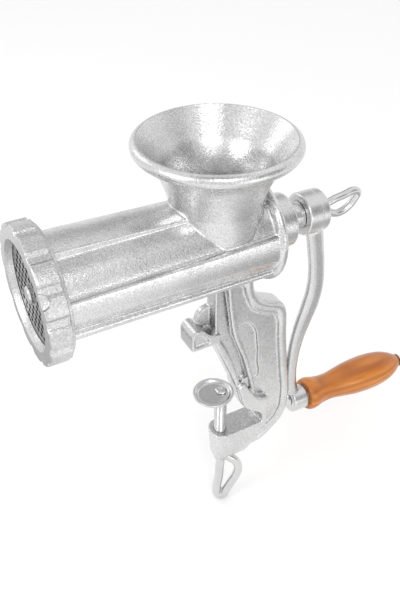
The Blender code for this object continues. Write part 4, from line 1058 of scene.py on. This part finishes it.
def world():
    """White wherever the camera looks or a mirror points, and a little less for the plain light all round."""
    made = bpy.data.worlds.new("studio")
    bpy.context.scene.world = made
    made.use_nodes = True
    tree = made.node_tree
    plain = tree.nodes["Background"]
    plain.inputs["Color"].default_value = (0.95, 0.95, 0.95, 1)
    white = node(tree, "ShaderNodeBackground", Strength=1.0)
    white.inputs["Color"].default_value = (1, 1, 1, 1)
    rays = node(tree, "ShaderNodeLightPath")
    some = node(tree, "ShaderNodeMath", operation="MAXIMUM")
    tree.links.new(rays.outputs["Is Camera Ray"], some.inputs[0])
    tree.links.new(rays.outputs["Is Glossy Ray"], some.inputs[1])
    either = node(tree, "ShaderNodeMath", operation="MAXIMUM")
    tree.links.new(some.outputs["Value"], either.inputs[0])
    tree.links.new(rays.outputs["Is Transmission Ray"], either.inputs[1])
    mix = node(tree, "ShaderNodeMixShader")
    tree.links.new(either.outputs["Value"], mix.inputs["Fac"])
    tree.links.new(plain.outputs["Background"], mix.inputs[1])
    tree.links.new(white.outputs["Background"], mix.inputs[2])
    tree.links.new(mix.outputs["Shader"], tree.nodes["World Output"].inputs["Surface"])


def card(name, toward, distance, radius, dark, flat=False):
    """A round grey card beside the set, thinner to its rim, that only the metal's reflections show."""
    middle = Vector(toward).normalized() * distance + Vector(centre)
    facing = Vector((0, 0, 1)) if flat else Vector(centre) - middle
    turn = facing.to_track_quat("Z", "Y").to_matrix().to_4x4()
    made = scratch(name, turned([(0, 0), (radius, 0)], 64, Matrix.Translation(middle) @ turn))
    material, tree, shader = new_material(name, (0.0, 0.0, 0.0), 1.0, 0.0)
    gap = node(tree, "ShaderNodeVectorMath", operation="DISTANCE")
    tree.links.new(node(tree, "ShaderNodeNewGeometry").outputs["Position"], gap.inputs[0])
    gap.inputs[1].default_value = middle
    thick = node(tree, "ShaderNodeMapRange", interpolation_type="SMOOTHSTEP")
    thick.inputs["From Min"].default_value = radius
    thick.inputs["From Max"].default_value = radius * 0.35
    thick.inputs["To Min"].default_value = 0.0
    thick.inputs["To Max"].default_value = dark
    tree.links.new(gap.outputs["Value"], thick.inputs["Value"])
    tree.links.new(thick.outputs["Result"], shader.inputs["Alpha"])
    made.data.materials.append(material)
    made.visible_camera = False
    made.visible_diffuse = False
    made.visible_shadow = False
    made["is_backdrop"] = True


card("card_right", (0.66, -0.72, 0.42), 1.5, 0.75, 0.62)
card("card_behind", (0.38, 0.7, 0.6), 1.5, 0.8, 0.45)
card("card_over", (-0.12, -0.3, 0.9), 0.8, 0.42, 0.5)
card("card_low", (0.24, -0.2, -0.142), 0.343, 0.26, 0.5, True)
card("card_left", (-0.27, 0.13, -0.142), 0.332, 0.32, 0.5, True)
world()
bpy.context.scene.view_settings.view_transform = "Standard"

floor_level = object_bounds()[0].z - 0.0005
floor = scratch("floor", turned([(0, 0), (3.0, 0)], 64, Matrix.Translation((0, 0, floor_level))))
floor_material, floor_tree, floor_shader = new_material("floor_white", (0.97, 0.97, 0.97), 0.9, 0.0)
floor.data.materials.append(floor_material)
floor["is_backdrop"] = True
